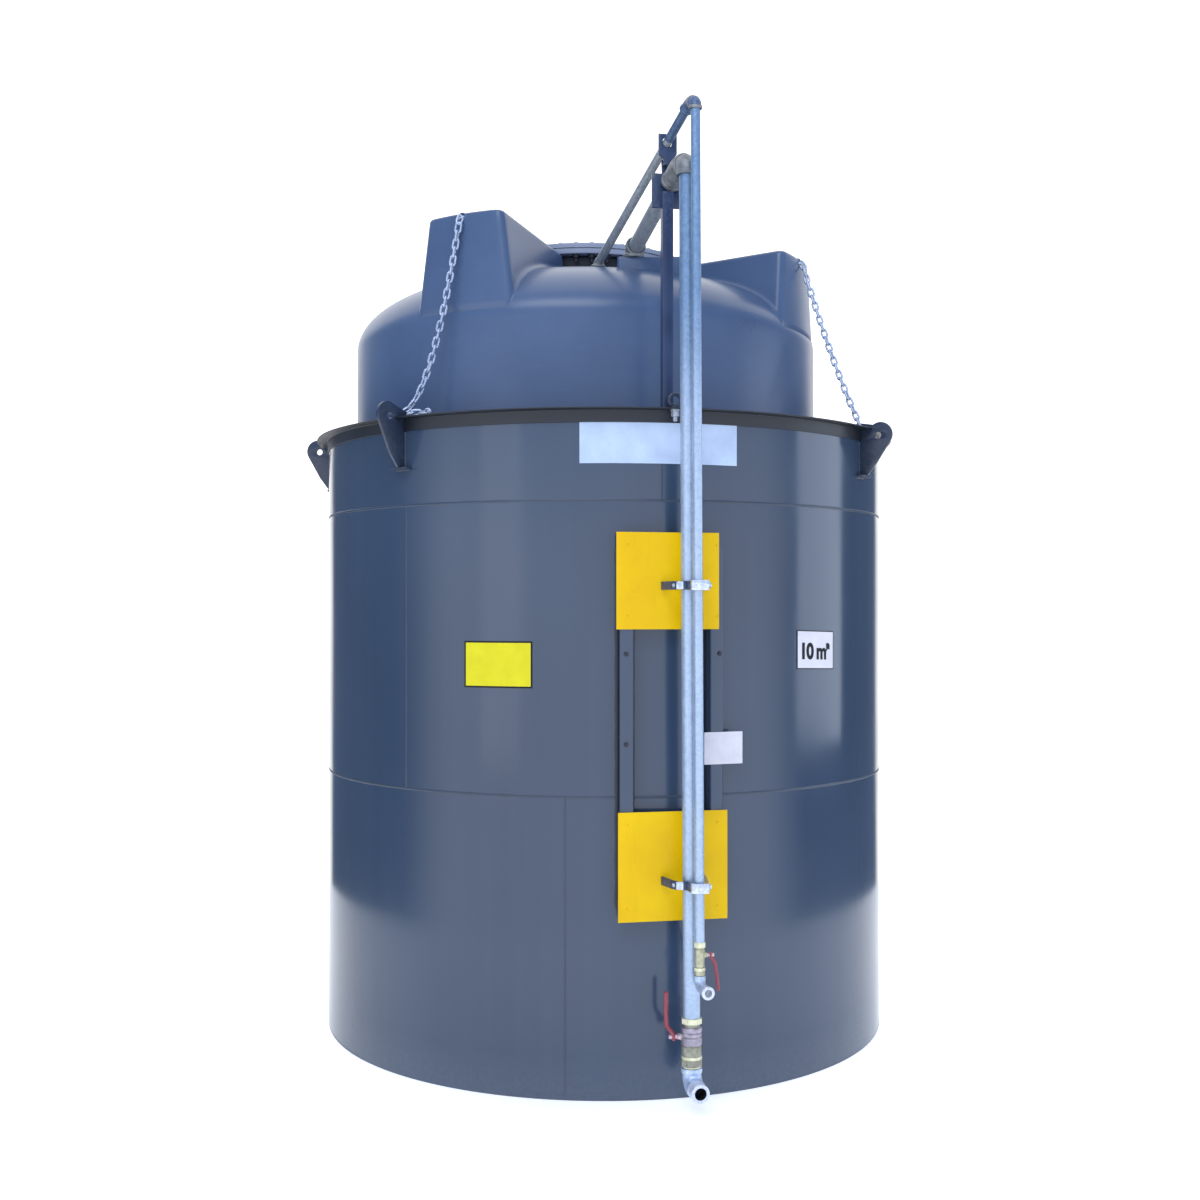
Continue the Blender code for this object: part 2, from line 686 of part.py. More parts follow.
def make_lever(name, pivot, outline, half, stem, red):
    """A quarter-turn handle. Its origin is on the stem's axis."""
    lever = extruded(f"{name}_valve_lever", outline, -half, half, facing, red)
    stem_start, stem_end, stem_radius = stem
    shaft = rod(f"{name}_stem", (stem_start, 0, 0), (stem_end, 0, 0), stem_radius, sides=12)
    shaft.parent = lever
    lever.location = pivot
    fuse(lever, shaft)


def make_outlet(name, place, top, centre_z, radius, mouth, zinc):
    """An elbow below the valve, turned outwards, with a blind bore in its mouth."""
    centre = Vector((*place, centre_z))
    reach, mouth_radius, bore_radius, bore_depth = mouth
    out = outward(OUTLET_AZIMUTH)
    drop = rod(f"{name}_outlet", centre, centre + Vector((0, 0, top - centre_z)), radius, zinc)
    turn = ball(f"{name}_outlet_turn", centre, radius * 0.99)
    spout = rod(f"{name}_outlet_spout", centre, centre + out * reach, mouth_radius)
    fuse(drop, turn, spout)
    end = centre + out * (reach + 0.01)
    bore = rod(f"{name}_outlet_bore", end - out * (bore_depth + 0.01), end, bore_radius)
    cut(drop, bore)


def make_fittings():
    brass = finish_of("valve_brass", "C8C8A8", 0.35, 0.7)
    red = finish_of("lever_red", "A33A45", 0.4, 0.0)
    zinc = finish_of("elbow_zinc", "C5D5EE", 0.4, 0.8)

    x, y = LARGE_VALVE_XY
    make_valve("large", LARGE_VALVE_XY, LARGE_VALVE_Z, (0.038, 0.0395), (x - 0.051, 0.014, LARGE_STEM_Z), brass)
    handle = [
        (-0.057, -0.014),
        (-0.057, 0.016),
        (-0.081, 0.040),
        (-0.081, 0.160),
        (-0.101, 0.160),
        (-0.101, 0.036),
        (-0.073, 0.004),
        (-0.073, -0.014),
    ]
    make_lever("large", (x, y, LARGE_STEM_Z), handle, 0.010, (-0.0515, -0.080, 0.008), red)
    top = LARGE_VALVE_Z[0] - SEAT
    make_outlet("large", LARGE_VALVE_XY, top, 0.0895, 0.038, (0.105, 0.033, 0.0215, 0.045), zinc)

    x, y = SMALL_VALVE_XY
    make_valve("small", SMALL_VALVE_XY, SMALL_VALVE_Z, (0.0200, 0.0180), (x + 0.028, 0.010, SMALL_STEM_Z), brass)
    handle = [
        (0.034, 0.010),
        (0.034, -0.012),
        (0.053, -0.036),
        (0.060, -0.125),
        (0.072, -0.125),
        (0.065, -0.030),
        (0.043, 0.000),
        (0.043, 0.010),
    ]
    make_lever("small", (x, y, SMALL_STEM_Z), handle, 0.008, (0.0285, 0.049, 0.006), red)
    top = SMALL_VALVE_Z[0] - SEAT
    make_outlet("small", SMALL_VALVE_XY, top, 0.4534, 0.0205, (0.098, 0.0215, 0.0120, 0.010), zinc)


for leftover in list(bpy.data.objects):
    bpy.data.objects.remove(leftover)

make_bund()
make_lugs()
tank_plastic = finish_of("tank_plastic", "4D5F85", 0.5, 0.0)
make_tank(tank_plastic)
for number, tank_ear in enumerate(EARS, 1):
    make_ear(f"tank_ear_{number}", tank_ear, tank_plastic)
make_manway(tank_plastic)
make_chains()
make_pipes()
make_post()
make_rails()
make_plates()
make_clamps()
make_fittings()
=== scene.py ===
"""The looks of a bunded vertical oil tank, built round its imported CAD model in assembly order.

Metres, +Z up, the front is -Y. An azimuth is in degrees round the bund's axis, from the front (-Y)
towards the right (+X).
"""

import math

import bmesh
import bpy
import numpy as np
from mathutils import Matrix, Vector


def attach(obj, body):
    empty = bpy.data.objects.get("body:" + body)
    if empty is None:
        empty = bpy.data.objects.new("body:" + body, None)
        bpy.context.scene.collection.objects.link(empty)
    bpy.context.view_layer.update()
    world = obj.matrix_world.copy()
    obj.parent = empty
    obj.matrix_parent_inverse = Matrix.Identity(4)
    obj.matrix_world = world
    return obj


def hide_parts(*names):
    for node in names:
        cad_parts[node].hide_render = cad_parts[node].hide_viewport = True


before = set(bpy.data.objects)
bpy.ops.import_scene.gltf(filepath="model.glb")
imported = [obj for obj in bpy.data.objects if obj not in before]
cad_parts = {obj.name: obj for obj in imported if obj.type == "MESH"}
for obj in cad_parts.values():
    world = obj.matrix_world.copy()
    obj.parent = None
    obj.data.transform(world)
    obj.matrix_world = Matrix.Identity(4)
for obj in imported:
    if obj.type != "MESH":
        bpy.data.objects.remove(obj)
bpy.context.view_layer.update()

# Camera
# A level camera 6.2 m from the bund's axis, at eye height, with the photograph's frame.
eye = bpy.data.objects.new("camera", bpy.data.cameras.new("camera"))
bpy.context.scene.collection.objects.link(eye)
eye.location = (0.0, -6.224, 1.759)
eye.rotation_euler = (math.radians(90), 0, 0)
eye.data.sensor_width = 36
eye.data.lens = 42
eye.data.shift_x = -0.00333
eye.data.shift_y = 0.0092
bpy.context.scene.camera = eye

# Floor and light
# A round pale floor before a white backdrop. The room is bright along the horizon in front, which is
# what the glossy enamel mirrors, bluer above, and dimmer at both sides, with a soft box on the right.
FLOOR_RADIUS = 3.6


def srgb(code):
    """The linear colour of a six-figure hexadecimal sRGB code."""
    parts = np.array([int(code[i : i + 2], 16) / 255 for i in (0, 2, 4)])
    linear = np.where(parts <= 0.04045, parts / 12.92, ((parts + 0.055) / 1.055) ** 2.4)
    return (*linear.tolist(), 1.0)


def plug(node, inputs):
    """Links a node's inputs to sockets, or to the first output of nodes, and sets any other value."""
    for key, value in inputs.items():
        if isinstance(value, bpy.types.Node):
            value = value.outputs[0]
        if isinstance(value, bpy.types.NodeSocket):
            node.id_data.links.new(value, node.inputs[key])
        else:
            node.inputs[key].default_value = value


def add(tree, kind, inputs=None, **settings):
    """Adds a node with its settings and links."""
    made = tree.nodes.new(f"ShaderNode{kind}")
    for key, value in settings.items():
        setattr(made, key, value)
    plug(made, inputs or {})
    return made


def finish_of(name, code, roughness, **sockets):
    """A new material with its tree and its shader, set to what is the same all over it."""
    material = bpy.data.materials.new(name)
    material.use_nodes = True
    shader = material.node_tree.nodes["Principled BSDF"]
    even = {key.replace("_", " "): value for key, value in sockets.items()}
    plug(shader, {"Base Color": srgb(code), "Roughness": roughness, **even})
    return material, material.node_tree, shader


def turns(count):
    """The angles of points spaced evenly round a circle."""
    return np.linspace(0, 2 * math.pi, count, endpoint=False)


glow = {"Emission_Color": srgb("FFFFFF"), "Emission_Strength": 0.45}
floor_paint, tree, shader = finish_of("floor_pale", "F4F5F6", 0.8, **glow)
place = add(tree, "TexCoord").outputs["Object"]
grain = add(tree, "TexNoise", {"Vector": place, "Scale": 3.0, "Detail": 6.0})
tone = add(tree, "Mix", {0: grain, 6: srgb("F1F2F4"), 7: srgb("F7F8F8")}, data_type="RGBA")
plug(shader, {"Base Color": tone.outputs[2]})

circle = np.stack([np.cos(turns(180)), np.sin(turns(180)), np.zeros(180)], axis=1) * FLOOR_RADIUS
ground = bpy.data.meshes.new("floor")
ground.from_pydata(circle.tolist(), [], [list(range(180))])
ground.materials.append(floor_paint)
ground_object = bpy.data.objects.new("floor", ground)
ground_object.location.z = -0.001
bpy.context.scene.collection.objects.link(ground_object)

room = bpy.data.worlds.new("room")
bpy.context.scene.world = room
bpy.context.scene.view_settings.view_transform = "Standard"
room.use_nodes = True
tree = room.node_tree
way = add(tree, "SeparateXYZ", {0: add(tree, "TexCoord").outputs["Generated"]})
back, height = way.outputs["Y"], way.outputs["Z"]


def blend(value, low, high, first, second):
    """Goes from the first colour to the second while the value goes from low to high."""
    share = add(tree, "MapRange", {"Value": value, 1: low, 2: high}, interpolation_type="SMOOTHSTEP")
    return add(tree, "Mix", {0: share, 6: first, 7: second}, data_type="RGBA").outputs[2]


ahead = blend(height, 0.06, 0.26, srgb("EFF4FF"), srgb("7D9ACA"))
ahead = blend(height, 0.5, 0.9, ahead, srgb("A9BEE0"))
beside = blend(height, 0.1, 0.6, srgb("4C586C"), srgb("8496B4"))
beside = blend(height, -0.27, -0.19, srgb("F6F7F8"), beside)
room_tone = blend(back, -0.5, 0.0, ahead, beside)
over = add(tree, "MapRange", {"Value": height, 1: 0.1, 2: 1.0, 4: 1.08})
backdrop = add(tree, "Math", {0: back, 1: over}, operation="ADD").outputs[0]
room_tone = blend(backdrop, 0.84, 0.895, room_tone, srgb("FFFFFF"))
plug(tree.nodes["Background"], {"Color": room_tone, "Strength": 1.6})

for name, spot, aim, size, power, tone in (
    ("light_left", (-5.0, -6.5, 2.4), (0, 0, 1.9), (2.2, 4.0), 14, "F6F8FF"),
    ("light_right", (8.8, 0.0, 2.4), (0.8, -0.8, 1.9), (4.2, 3.8), 120, "E6F0FF"),
    ("light_high", (-1.5, -7.0, 8.5), (0, 0, 1.5), (6.0, 3.0), 260, "FFFCF6"),
):
    lamp = bpy.data.lights.new(name, "AREA")
    lamp.shape = "RECTANGLE"
    lamp.size, lamp.size_y = size
    lamp.energy = power
    lamp.color = srgb(tone)[:3]
    holder = bpy.data.objects.new(name, lamp)
    bpy.context.scene.collection.objects.link(holder)
    holder.location = spot
    holder.rotation_mode = "QUATERNION"
    holder.rotation_quaternion = Vector(np.subtract(aim, spot)).to_track_quat("-Z", "Y")

# Bund floor
# The round steel plate that the bund stands on, 6 mm thick and flame cut, with a fillet weld to the
# wall. It has the bund's glossy blue-grey enamel, brushed and sprayed on, with dust near the foot.
BUND_RADIUS = 1.200
BUND_WALL = 0.005
BUND_FLOOR = 0.006


def unit(vectors):
    """The same directions at a length of one."""
    return vectors / np.linalg.norm(vectors, axis=-1, keepdims=True)


def skin(grid, round_rows=False, round_columns=True, ends=False):
    """A grid of points (rows, columns, 3) as four-sided faces.

    A round direction joins the last row or column to the first. Ends closes the first and last rows.
    """
    rows, columns = grid.shape[:2]
    index = np.arange(rows * columns).reshape(rows, columns)
    first, last = index[0].tolist(), index[-1].tolist()
    if round_rows:
        index = np.vstack([index, index[:1]])
    if round_columns:
        index = np.hstack([index, index[:, :1]])
    corners = (index[:-1, :-1], index[1:, :-1], index[1:, 1:], index[:-1, 1:])
    faces = np.stack(corners, axis=-1).reshape(-1, 4).tolist()
    if ends:
        faces += [first, last]
    return grid.reshape(-1, 3), faces


def turned(profile, steps=240, centre=(0, 0, 0), axis=(0, 0, 1), start=0.0):
    """An outline (distance from the axis, distance along it) carried round the axis.

    One that starts on the axis ends on it too, and any other is a closed loop.
    """
    profile, axis = np.array(profile, float), unit(np.array(axis, float))
    aside = unit(np.cross(axis, (0, 1, 0) if abs(axis[1]) < 0.9 else (1, 0, 0)))
    turn = math.radians(start) + turns(steps)[:, None]
    spoke = np.cos(turn) * aside + np.sin(turn) * np.cross(axis, aside)
    grid = spoke[:, None] * profile[:, :1] + axis * profile[:, 1:] + np.array(centre, float)
    return skin(grid, True, profile[0, 0] > 0)


def piece(name, parts, slot, *nodes, body="tank", crease=35):
    """One object from the shells (points, faces) of each material, riding on a body."""
    mesh = bpy.data.meshes.new(name)
    points, faces, kinds, count = [], [], [], 0
    for kind, (material, shells) in enumerate(parts.items()):
        mesh.materials.append(material)
        for shell_points, shell_faces in shells:
            points.append(shell_points)
            faces += [[i + count for i in face] for face in shell_faces]
            kinds += [kind] * len(shell_faces)
            count += len(shell_points)
    mesh.from_pydata(np.concatenate(points).tolist(), [], faces)
    mesh.polygons.foreach_set("material_index", kinds)
    work = bmesh.new()
    work.from_mesh(mesh)
    bmesh.ops.remove_doubles(work, verts=work.verts, dist=1e-6)
    bmesh.ops.recalc_face_normals(work, faces=work.faces)
    work.to_mesh(mesh)
    work.free()
    mesh.shade_smooth()
    mesh.set_sharp_from_angle(angle=math.radians(crease))
    made = bpy.data.objects.new(name, mesh)
    bpy.context.scene.collection.objects.link(made)
    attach(made, body)
    if nodes:
        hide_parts(*nodes)


def coat_of(name, dark, light, gloss, cloud, relief, grain=None, smear=None, **more):
    """A finish in a cloud of two tones, duller where the smear is paler, with its grain in relief.

    Each noise is (scale, detail, roughness), its scale being how many of its lumps go in a metre, and
    the cloud is used where grain or smear isn't given. Relief is (strength, depth). Tones and dulls
    are the ranges that the noises are spread over.
    """
    tones, dulls = more.pop("tones", (0.3, 0.7)), more.pop("dulls", (0.3, 0.7))
    material, tree, shader = finish_of(name, light, gloss[0], **more)
    place = add(tree, "TexCoord").outputs["Object"]
    noises, sizes = {}, (cloud, grain or cloud, smear or cloud)
    for size in dict.fromkeys(sizes):
        values = dict(zip(("Scale", "Detail", "Roughness"), size))
        noises[size] = add(tree, "TexNoise", {"Vector": place, **values})
    cloud, grain, smear = (noises[size] for size in sizes)
    tone = add(tree, "MapRange", {"Value": cloud, 1: tones[0], 2: tones[1]})
    base = add(tree, "Mix", {0: tone, 6: srgb(dark), 7: srgb(light)}, data_type="RGBA").outputs[2]
    dull = {"Value": smear, 1: dulls[0], 2: dulls[1], 3: gloss[0], 4: gloss[1]}
    bump = add(tree, "Bump", {"Height": grain, "Strength": relief[0], "Distance": relief[1]})
    plug(shader, {"Base Color": base, "Roughness": add(tree, "MapRange", dull), "Normal": bump})
    return material, tree, shader, place, base, grain


def enamel_of(name, dark, light, gloss, peel):
    """Sprayed gloss enamel on steel: it shows slow changes of tone, faint upright runs and the orange
    peel of the spray, with a little dust settled at its foot."""
    # Orange peel is about 3 mm across, and is drawn at 8 mm so that it shows
    noises = {"cloud": (0.9, 2.0, 0.4), "grain": (125.0, 1.0, 0.5), "smear": (3.0, 2.0, 0.5)}
    spreads = {"tones": (0.25, 0.75), "dulls": (0.2, 0.8), "Specular_IOR_Level": 0.65}
    made = coat_of(name, dark, light, gloss, relief=(peel, 0.0006), **noises, **spreads)
    material, tree, shader, place, base, _ = made
    # Runs are about 110 mm apart and go down the whole wall
    run_place = add(tree, "Mapping", {"Vector": place, "Scale": (9.0, 9.0, 0.35)})
    run = add(tree, "TexNoise", {"Vector": run_place, "Scale": 1.0, "Detail": 3.0})
    streak = add(tree, "MapRange", {"Value": run, 1: 0.4, 2: 0.8, 4: 0.14})
    washed = add(tree, "Mix", {0: streak, 6: base, 7: srgb("455770")}, data_type="RGBA").outputs[2]
    # Dust reaches 160 mm up the wall, in specks that are drawn at 17 mm so that they show
    level = add(tree, "SeparateXYZ", {0: place}).outputs["Z"]
    foot = add(tree, "MapRange", {"Value": level, 1: 0.16, 2: 0.0, 4: 0.35})
    speck = add(tree, "TexNoise", {"Vector": place, "Scale": 60.0, "Detail": 4.0, "Roughness": 0.7})
    dust = add(tree, "Math", {0: foot, 1: speck}, operation="MULTIPLY")
    colour = add(tree, "Mix", {0: dust, 6: washed, 7: srgb("767C86")}, data_type="RGBA")
    plug(shader, {"Base Color": colour.outputs[2]})
    return material


bund_enamel = enamel_of("bund_gloss_enamel", "2D3C4F", "35465C", (0.10, 0.18), 0.05)
edge = [(BUND_RADIUS - 0.001, 0), (BUND_RADIUS, 0.001), (BUND_RADIUS, BUND_FLOOR)]
plate = turned([(0, 0), *edge, (0, BUND_FLOOR)], 360)
piece("bund_floor_plate", {bund_enamel: [plate]}, "bund_steel", "bund_floor")

# Bund wall
# Three courses of 5 mm steel plate, rolled to a 2.4 m cylinder and welded edge to edge. The plates are
# a little out of true, and drawn in along the level welds, which shows in their reflections.
BUND_HEIGHT = 2.487
COURSE_TOPS = (1.090, 2.157)
COURSE_SEAMS = (-6.7, -38.6, 10.0)
WALL_STEPS = 360


def outward(azimuth):
    """The level direction away from the bund's axis."""
    turn = np.radians(azimuth)
    return np.stack([np.sin(turn), -np.cos(turn), np.zeros_like(turn)], axis=-1)


def sideways(azimuth):
    """The level direction round the bund, towards the right seen from outside."""
    return outward(np.add(azimuth, 90))


def on_wall(azimuth, level, proud=0.0):
    """Points on the wall's outside or proud of it. The wall stands off a true cylinder by slow waves
    round it, with a dip of under 1 mm along each level weld."""
    turn = np.radians(azimuth)
    wave = 0.0005 * np.sin(3 * turn + 1.1 + 1.4 * level) + 0.0004 * np.sin(7 * turn - 2.1 * level)
    wave = wave + 0.00025 * np.sin(13 * turn + 5.0 * level)
    dip = sum(np.exp(-(((level - seam) / 0.035) ** 2)) for seam in COURSE_TOPS)
    points = outward(azimuth) * (BUND_RADIUS + wave - 0.0008 * dip + proud)[..., None]
    points[..., 2] = level
    return points


def rolled_plate(bottom, top, start):
    """Half a course as a closed shell: its outside, top, inside and bottom in one loop."""
    azimuth = start + np.linspace(0, 180, WALL_STEPS // 2 + 1)
    levels = np.linspace(bottom, top, max(4, round((top - bottom) / 0.045)))
    depth = np.repeat([0, BUND_WALL], len(levels))
    a, z = np.meshgrid(azimuth, np.concatenate([levels, levels[::-1]]), indexing="ij")
    return skin(on_wall(a, z, -depth), ends=True)


bottoms = (BUND_FLOOR, *COURSE_TOPS)
tops = (*COURSE_TOPS, BUND_HEIGHT - 0.005)
for course, bottom, top, seam in zip(("lower", "middle", "upper"), bottoms, tops, COURSE_SEAMS):
    halves = {bund_enamel: [rolled_plate(bottom, top, seam + turn) for turn in (0, 180)]}
    course = f"bund_{course}_course"
    piece(course, halves, "bund_steel", f"{course}_left", f"{course}_right")


# Welds
# The courses are joined by stick-welded beads about 8 mm wide that stand 1 mm proud, painted over
# with the wall. Their ripples are the set of each molten pool.
def run_along(path):
    """How far each point of a path is along it."""
    return np.concatenate([[0], np.cumsum(np.linalg.norm(np.diff(path, axis=0), axis=1))])


def bead(path, out, width, rise):
    """A weld bead: a flat half-oval carried along a path on a surface, with a ripple every 9 mm."""
    out = np.broadcast_to(out, path.shape)
    across = np.cross(unit(np.gradient(path, axis=0)), out)
    run = run_along(path) * 2 * math.pi
    swell = (1 + 0.14 * np.sin(run / 0.009) + 0.1 * np.sin(run / 0.137))[:, None, None]
    side, up = np.cos(turns(8))[:, None] * width / 2, np.sin(turns(8))[:, None] * rise
    return skin(path[:, None] + (across[:, None] * side + out[:, None] * up) * swell, ends=True)


def round_weld(level, proud=0.0):
    """A bead all the way round the wall."""
    azimuth = np.linspace(0, 359.9, 1800)
    return bead(on_wall(azimuth, level, proud), outward(azimuth), 0.010, 0.0011)


def upright_weld(azimuth, bottom, top):
    """A bead straight up the wall."""
    level = np.linspace(bottom, top, max(40, round((top - bottom) / 0.0045)))
    return bead(on_wall(azimuth, level), outward(azimuth), 0.009, 0.0010)


seams = [round_weld(level) for level in COURSE_TOPS]
for bottom, top, seam in zip(bottoms, tops, COURSE_SEAMS):
    seams += [upright_weld(seam + turn, bottom + 0.004, top - 0.004) for turn in (0, 180)]
seams.append(round_weld(BUND_FLOOR, -0.0015))
weld_enamel = enamel_of("weld_gloss_enamel", "263242", "2F3D50", (0.3, 0.45), 0.15)
piece("bund_welds", {weld_enamel: seams}, "bund_steel")

# Rim
# A 50 x 50 x 5 mm rolled steel angle, welded leg down round the top of the wall with its flange
# outwards. Its enamel is near black, which is painted shade under the flange. It is duller than the
# wall's and chipped along its corner.
RIM_LEG = 0.050
RIM_THICKNESS = 0.005
RIM_UNDER = BUND_HEIGHT - RIM_THICKNESS
RIM_FOOT = BUND_HEIGHT - RIM_LEG


def rounded(outline, radius, steps=4):
    """A closed outline with each corner turned into an arc of this radius, or of its own one."""
    outline = np.array(outline, float)
    made = []
    for i, (corner, bend) in enumerate(zip(outline, np.broadcast_to(radius, len(outline)))):
        back, ahead = unit(outline[i - 1] - corner), unit(outline[(i + 1) % len(outline)] - corner)
        half = math.acos(np.clip(back @ ahead, -1, 1)) / 2
        if bend <= 0 or abs(math.pi / 2 - half) < 1e-4:
            made.append(corner[None])
            continue
        centre = corner + unit(back + ahead) * bend / math.sin(half)
        first = corner + back * bend / math.tan(half) - centre
        last = corner + ahead * bend / math.tan(half) - centre
        share = np.linspace(0, 1, steps + 1)[:, None]
        spread = math.acos(np.clip(first @ last / bend**2, -1, 1))
        arc = (np.sin((1 - share) * spread) * first + np.sin(share * spread) * last) / math.sin(spread)
        made.append(centre + arc)
    return np.concatenate(made)


def worn_enamel_of(name, dark, light, bare, gloss, wear):
    """Enamel that is rubbed and chipped on its corners, with the darker primer showing through."""
    # Chips are a few millimetres across, and are drawn at 14 mm so that they show
    noises = {"cloud": (6.0, 5.0, 0.5), "grain": (70.0, 6.0, 0.7), "dulls": (0.3, 0.75)}
    coat = {"relief": (0.15, 0.0005), "Coat_Weight": 0.1, "Coat_Roughness": 0.2}
    material, tree, shader, _, base, chip = coat_of(name, dark, light, gloss, **noises, **coat)
    corner = add(tree, "NewGeometry").outputs["Pointiness"]
    edge = add(tree, "MapRange", {"Value": corner, 1: 0.52, 2: 0.6})
    mark = add(tree, "MapRange", {"Value": chip, 1: 0.5, 2: 0.62})
    worn = add(tree, "Math", {0: edge, 1: mark}, operation="MULTIPLY")
    worn = add(tree, "Math", {0: worn, 1: wear}, operation="MULTIPLY")
    colour = add(tree, "Mix", {0: worn, 6: base, 7: srgb(bare)}, data_type="RGBA")
    plug(shader, {"Base Color": colour.outputs[2]})
    return material


# The rim's near-black tones are painted shade under the flange, not the enamel's own colour
rim_shaded_enamel = worn_enamel_of("rim_enamel_painted_shade", "10161F", "18202B", "3D454F", (0.42, 0.55), 0.5)
inside, leg, flange = BUND_RADIUS - BUND_WALL, BUND_RADIUS + 0.0003, BUND_RADIUS + RIM_LEG
angle_bar = [(inside, RIM_UNDER), (leg, RIM_UNDER), (leg, RIM_FOOT), (leg + RIM_THICKNESS, RIM_FOOT)]
angle_bar += [(leg + RIM_THICKNESS, RIM_UNDER), (flange, RIM_UNDER), (flange, BUND_HEIGHT)]
angle_bar.append((inside, BUND_HEIGHT))
angle_bar = rounded(angle_bar, (0.001, 0, 0.0012, 0.0012, 0.003, 0.0018, 0.0018, 0.001), 3)
piece("bund_rim_angle", {rim_shaded_enamel: [turned(angle_bar, WALL_STEPS)]}, "rim_steel", "bund_rim")

# Lugs
# Flame-cut 12 mm plates set on edge to the wall and let into the rim, each on a small level foot
# plate. Their eyes take a shackle, and those under the chains reach in over the rim as a nose.
LUG_THICKNESS = 0.012
LUG_FOOT = 2.300
LUG_HEAD = (0.085, 2.475, 0.050)
LUG_EYE = (0.078, 2.472, 0.013)
LIFTING_LUGS = (-93.0, 110.0, 161.0)
CHAIN_LUGS = (-39.0, 58.5, 210.0)
up = np.array([0.0, 0.0, 1.0])


def arc_of(centre, radius, first, last, steps):
    """Points on a circle, the angles counted from the first axis towards the second."""
    turn = np.radians(np.linspace(first, last, steps + 1))
    return np.stack([centre[0] + radius * np.cos(turn), centre[1] + radius * np.sin(turn)], axis=1)


def oblong(left, right, low, high):
    """The corners of a rectangle."""
    return [(left, low), (right, low), (right, high), (left, high)]


def filled(curve):
    """The points and faces of a flat curve or a line of text, filled in."""
    holder = bpy.data.objects.new(curve.name, curve)
    mesh = bpy.data.meshes.new_from_object(holder)
    points = np.empty(len(mesh.vertices) * 3)
    mesh.vertices.foreach_get("co", points)
    faces = [list(face.vertices) for face in mesh.polygons]
    bpy.data.objects.remove(holder)
    bpy.data.meshes.remove(mesh)
    return points.reshape(-1, 3), faces


def cut_plate(outlines, thickness, edge, origin, across, up):
    """A flat plate: the first outline with the others cut out of it, its edges eased by this much.

    Outlines are (across, up) from the origin, and the plate is centred on it in its thickness.
    """
    flat = bpy.data.curves.new("plate", "CURVE")
    flat.dimensions = "2D"
    flat.fill_mode = "BOTH"
    flat.extrude = thickness / 2 - edge
    flat.bevel_depth = edge
    flat.offset = -edge
    flat.bevel_resolution = 1
    for outline in outlines:
        spline = flat.splines.new("POLY")
        spline.points.add(len(outline) - 1)
        corners = np.pad(np.array(outline, float), ((0, 0), (0, 2)))
        corners[:, 3] = 1
        spline.points.foreach_set("co", corners.ravel())
        spline.use_cyclic_u = True
    points, faces = filled(flat)
    axes = np.array([across, up, np.cross(across, up)], float)
    return np.array(origin, float) + points @ axes, faces


def lug_shells(azimuth, nose, lift):
    """A lug's plate and foot, with the weld beads up its two sides and round its foot."""
    wall, over, below = BUND_RADIUS + 0.0002, BUND_HEIGHT + 0.0004, RIM_UNDER - 0.0002
    flange, leg, foot = wall + RIM_LEG + 0.0006, wall + RIM_THICKNESS + 0.0006, RIM_FOOT - 0.001
    outline = [(wall, LUG_FOOT), (wall + 0.035, LUG_FOOT), (wall + 0.076, LUG_FOOT + 0.055)]
    outline += [*arc_of((wall + LUG_HEAD[0], LUG_HEAD[1] + lift), LUG_HEAD[2], -30, 125, 18)]
    outline += [(wall - nose + 0.010, over + 0.024), (wall - nose, over + 0.014), (wall - nose, over)]
    outline += [(flange, over), (flange, below), (leg, below), (leg, foot), (wall, foot)]
    hole = arc_of((wall + LUG_EYE[0], LUG_EYE[1] + lift), LUG_EYE[2], 0, 345, 23)
    out, side = outward(azimuth), sideways(azimuth)
    shells = [cut_plate([outline, hole], LUG_THICKNESS, 0.0012, (0, 0, 0), out, up)]
    foot_line = rounded(oblong(-0.0425, 0.0425, 0, 0.035), (0, 0, 0.004, 0.004))
    foot_at = out * (wall - 0.0005) + up * (LUG_FOOT - 0.004)
    shells.append(cut_plate([foot_line], 0.008, 0.001, foot_at, side, out))
    level = np.linspace(LUG_FOOT + 0.003, RIM_FOOT - 0.004, 60)[:, None]
    for hand in (-side, side):
        path = out * wall + hand * (LUG_THICKNESS / 2 + 0.001) + level * up
        shells.append(bead(path, unit(out + hand), 0.008, 0.0035))
    path = out * wall + np.linspace(-0.040, 0.040, 24)[:, None] * side + up * (LUG_FOOT - 0.009)
    shells.append(bead(path, unit(out - up), 0.007, 0.003))
    return shells


lug_enamel = worn_enamel_of("lug_dark_enamel", "202B3E", "2A374C", "667080", (0.3, 0.45), 0.5)
for kind, azimuths, lifts, nose in (
    ("lifting", LIFTING_LUGS, (0.0, 0.0, 0.0), -0.004),
    ("chain", CHAIN_LUGS, (0.018, -0.016, 0.0), 0.020),
):
    for number, (azimuth, lift) in enumerate(zip(azimuths, lifts), 1):
        node = f"{kind}_lug_{number}"
        shells = {lug_enamel: lug_shells(azimuth, nose, lift)}
        piece(f"{node}_plate", shells, "lug_steel", node, crease=30)

# Rim eye bolt
# A forged steel lifting eye that stands on the rim's flange beside the post and faces outwards. Its
# ring has the dark enamel, and the shank and nut under the flange are bright zinc.
EYE_AZIMUTH, EYE_DISTANCE, EYE_HEIGHT = 12.0, 1.228, 2.514
EYE_RING, EYE_WIRE = 0.0228, 0.0070


def clouded_of(name, dark, light, scale, gloss, lumps=0.0, **sockets):
    """A coating or skin with a fine cloud of two tones, duller where it is paler, and faint lumps."""
    return coat_of(name, dark, light, gloss, (scale, 5.0, 0.6), (lumps, 0.002), **sockets)[0]


def hexagon(at, out, across, height):
    """A hexagon bolt head or nut with a turned chamfer, standing out from a face on its washer."""
    corner = across / math.sqrt(3)
    washer = [(0, 0), (corner * 1.15, 0), (corner * 1.15, height * 0.22), (0, height * 0.22)]
    head = [(0, height * 0.2), (corner, height * 0.2), (corner, height * 0.86), (corner * 0.86, height)]
    return [turned(washer, 18, at, out), turned([*head, (0, height)], 6, at, out)]


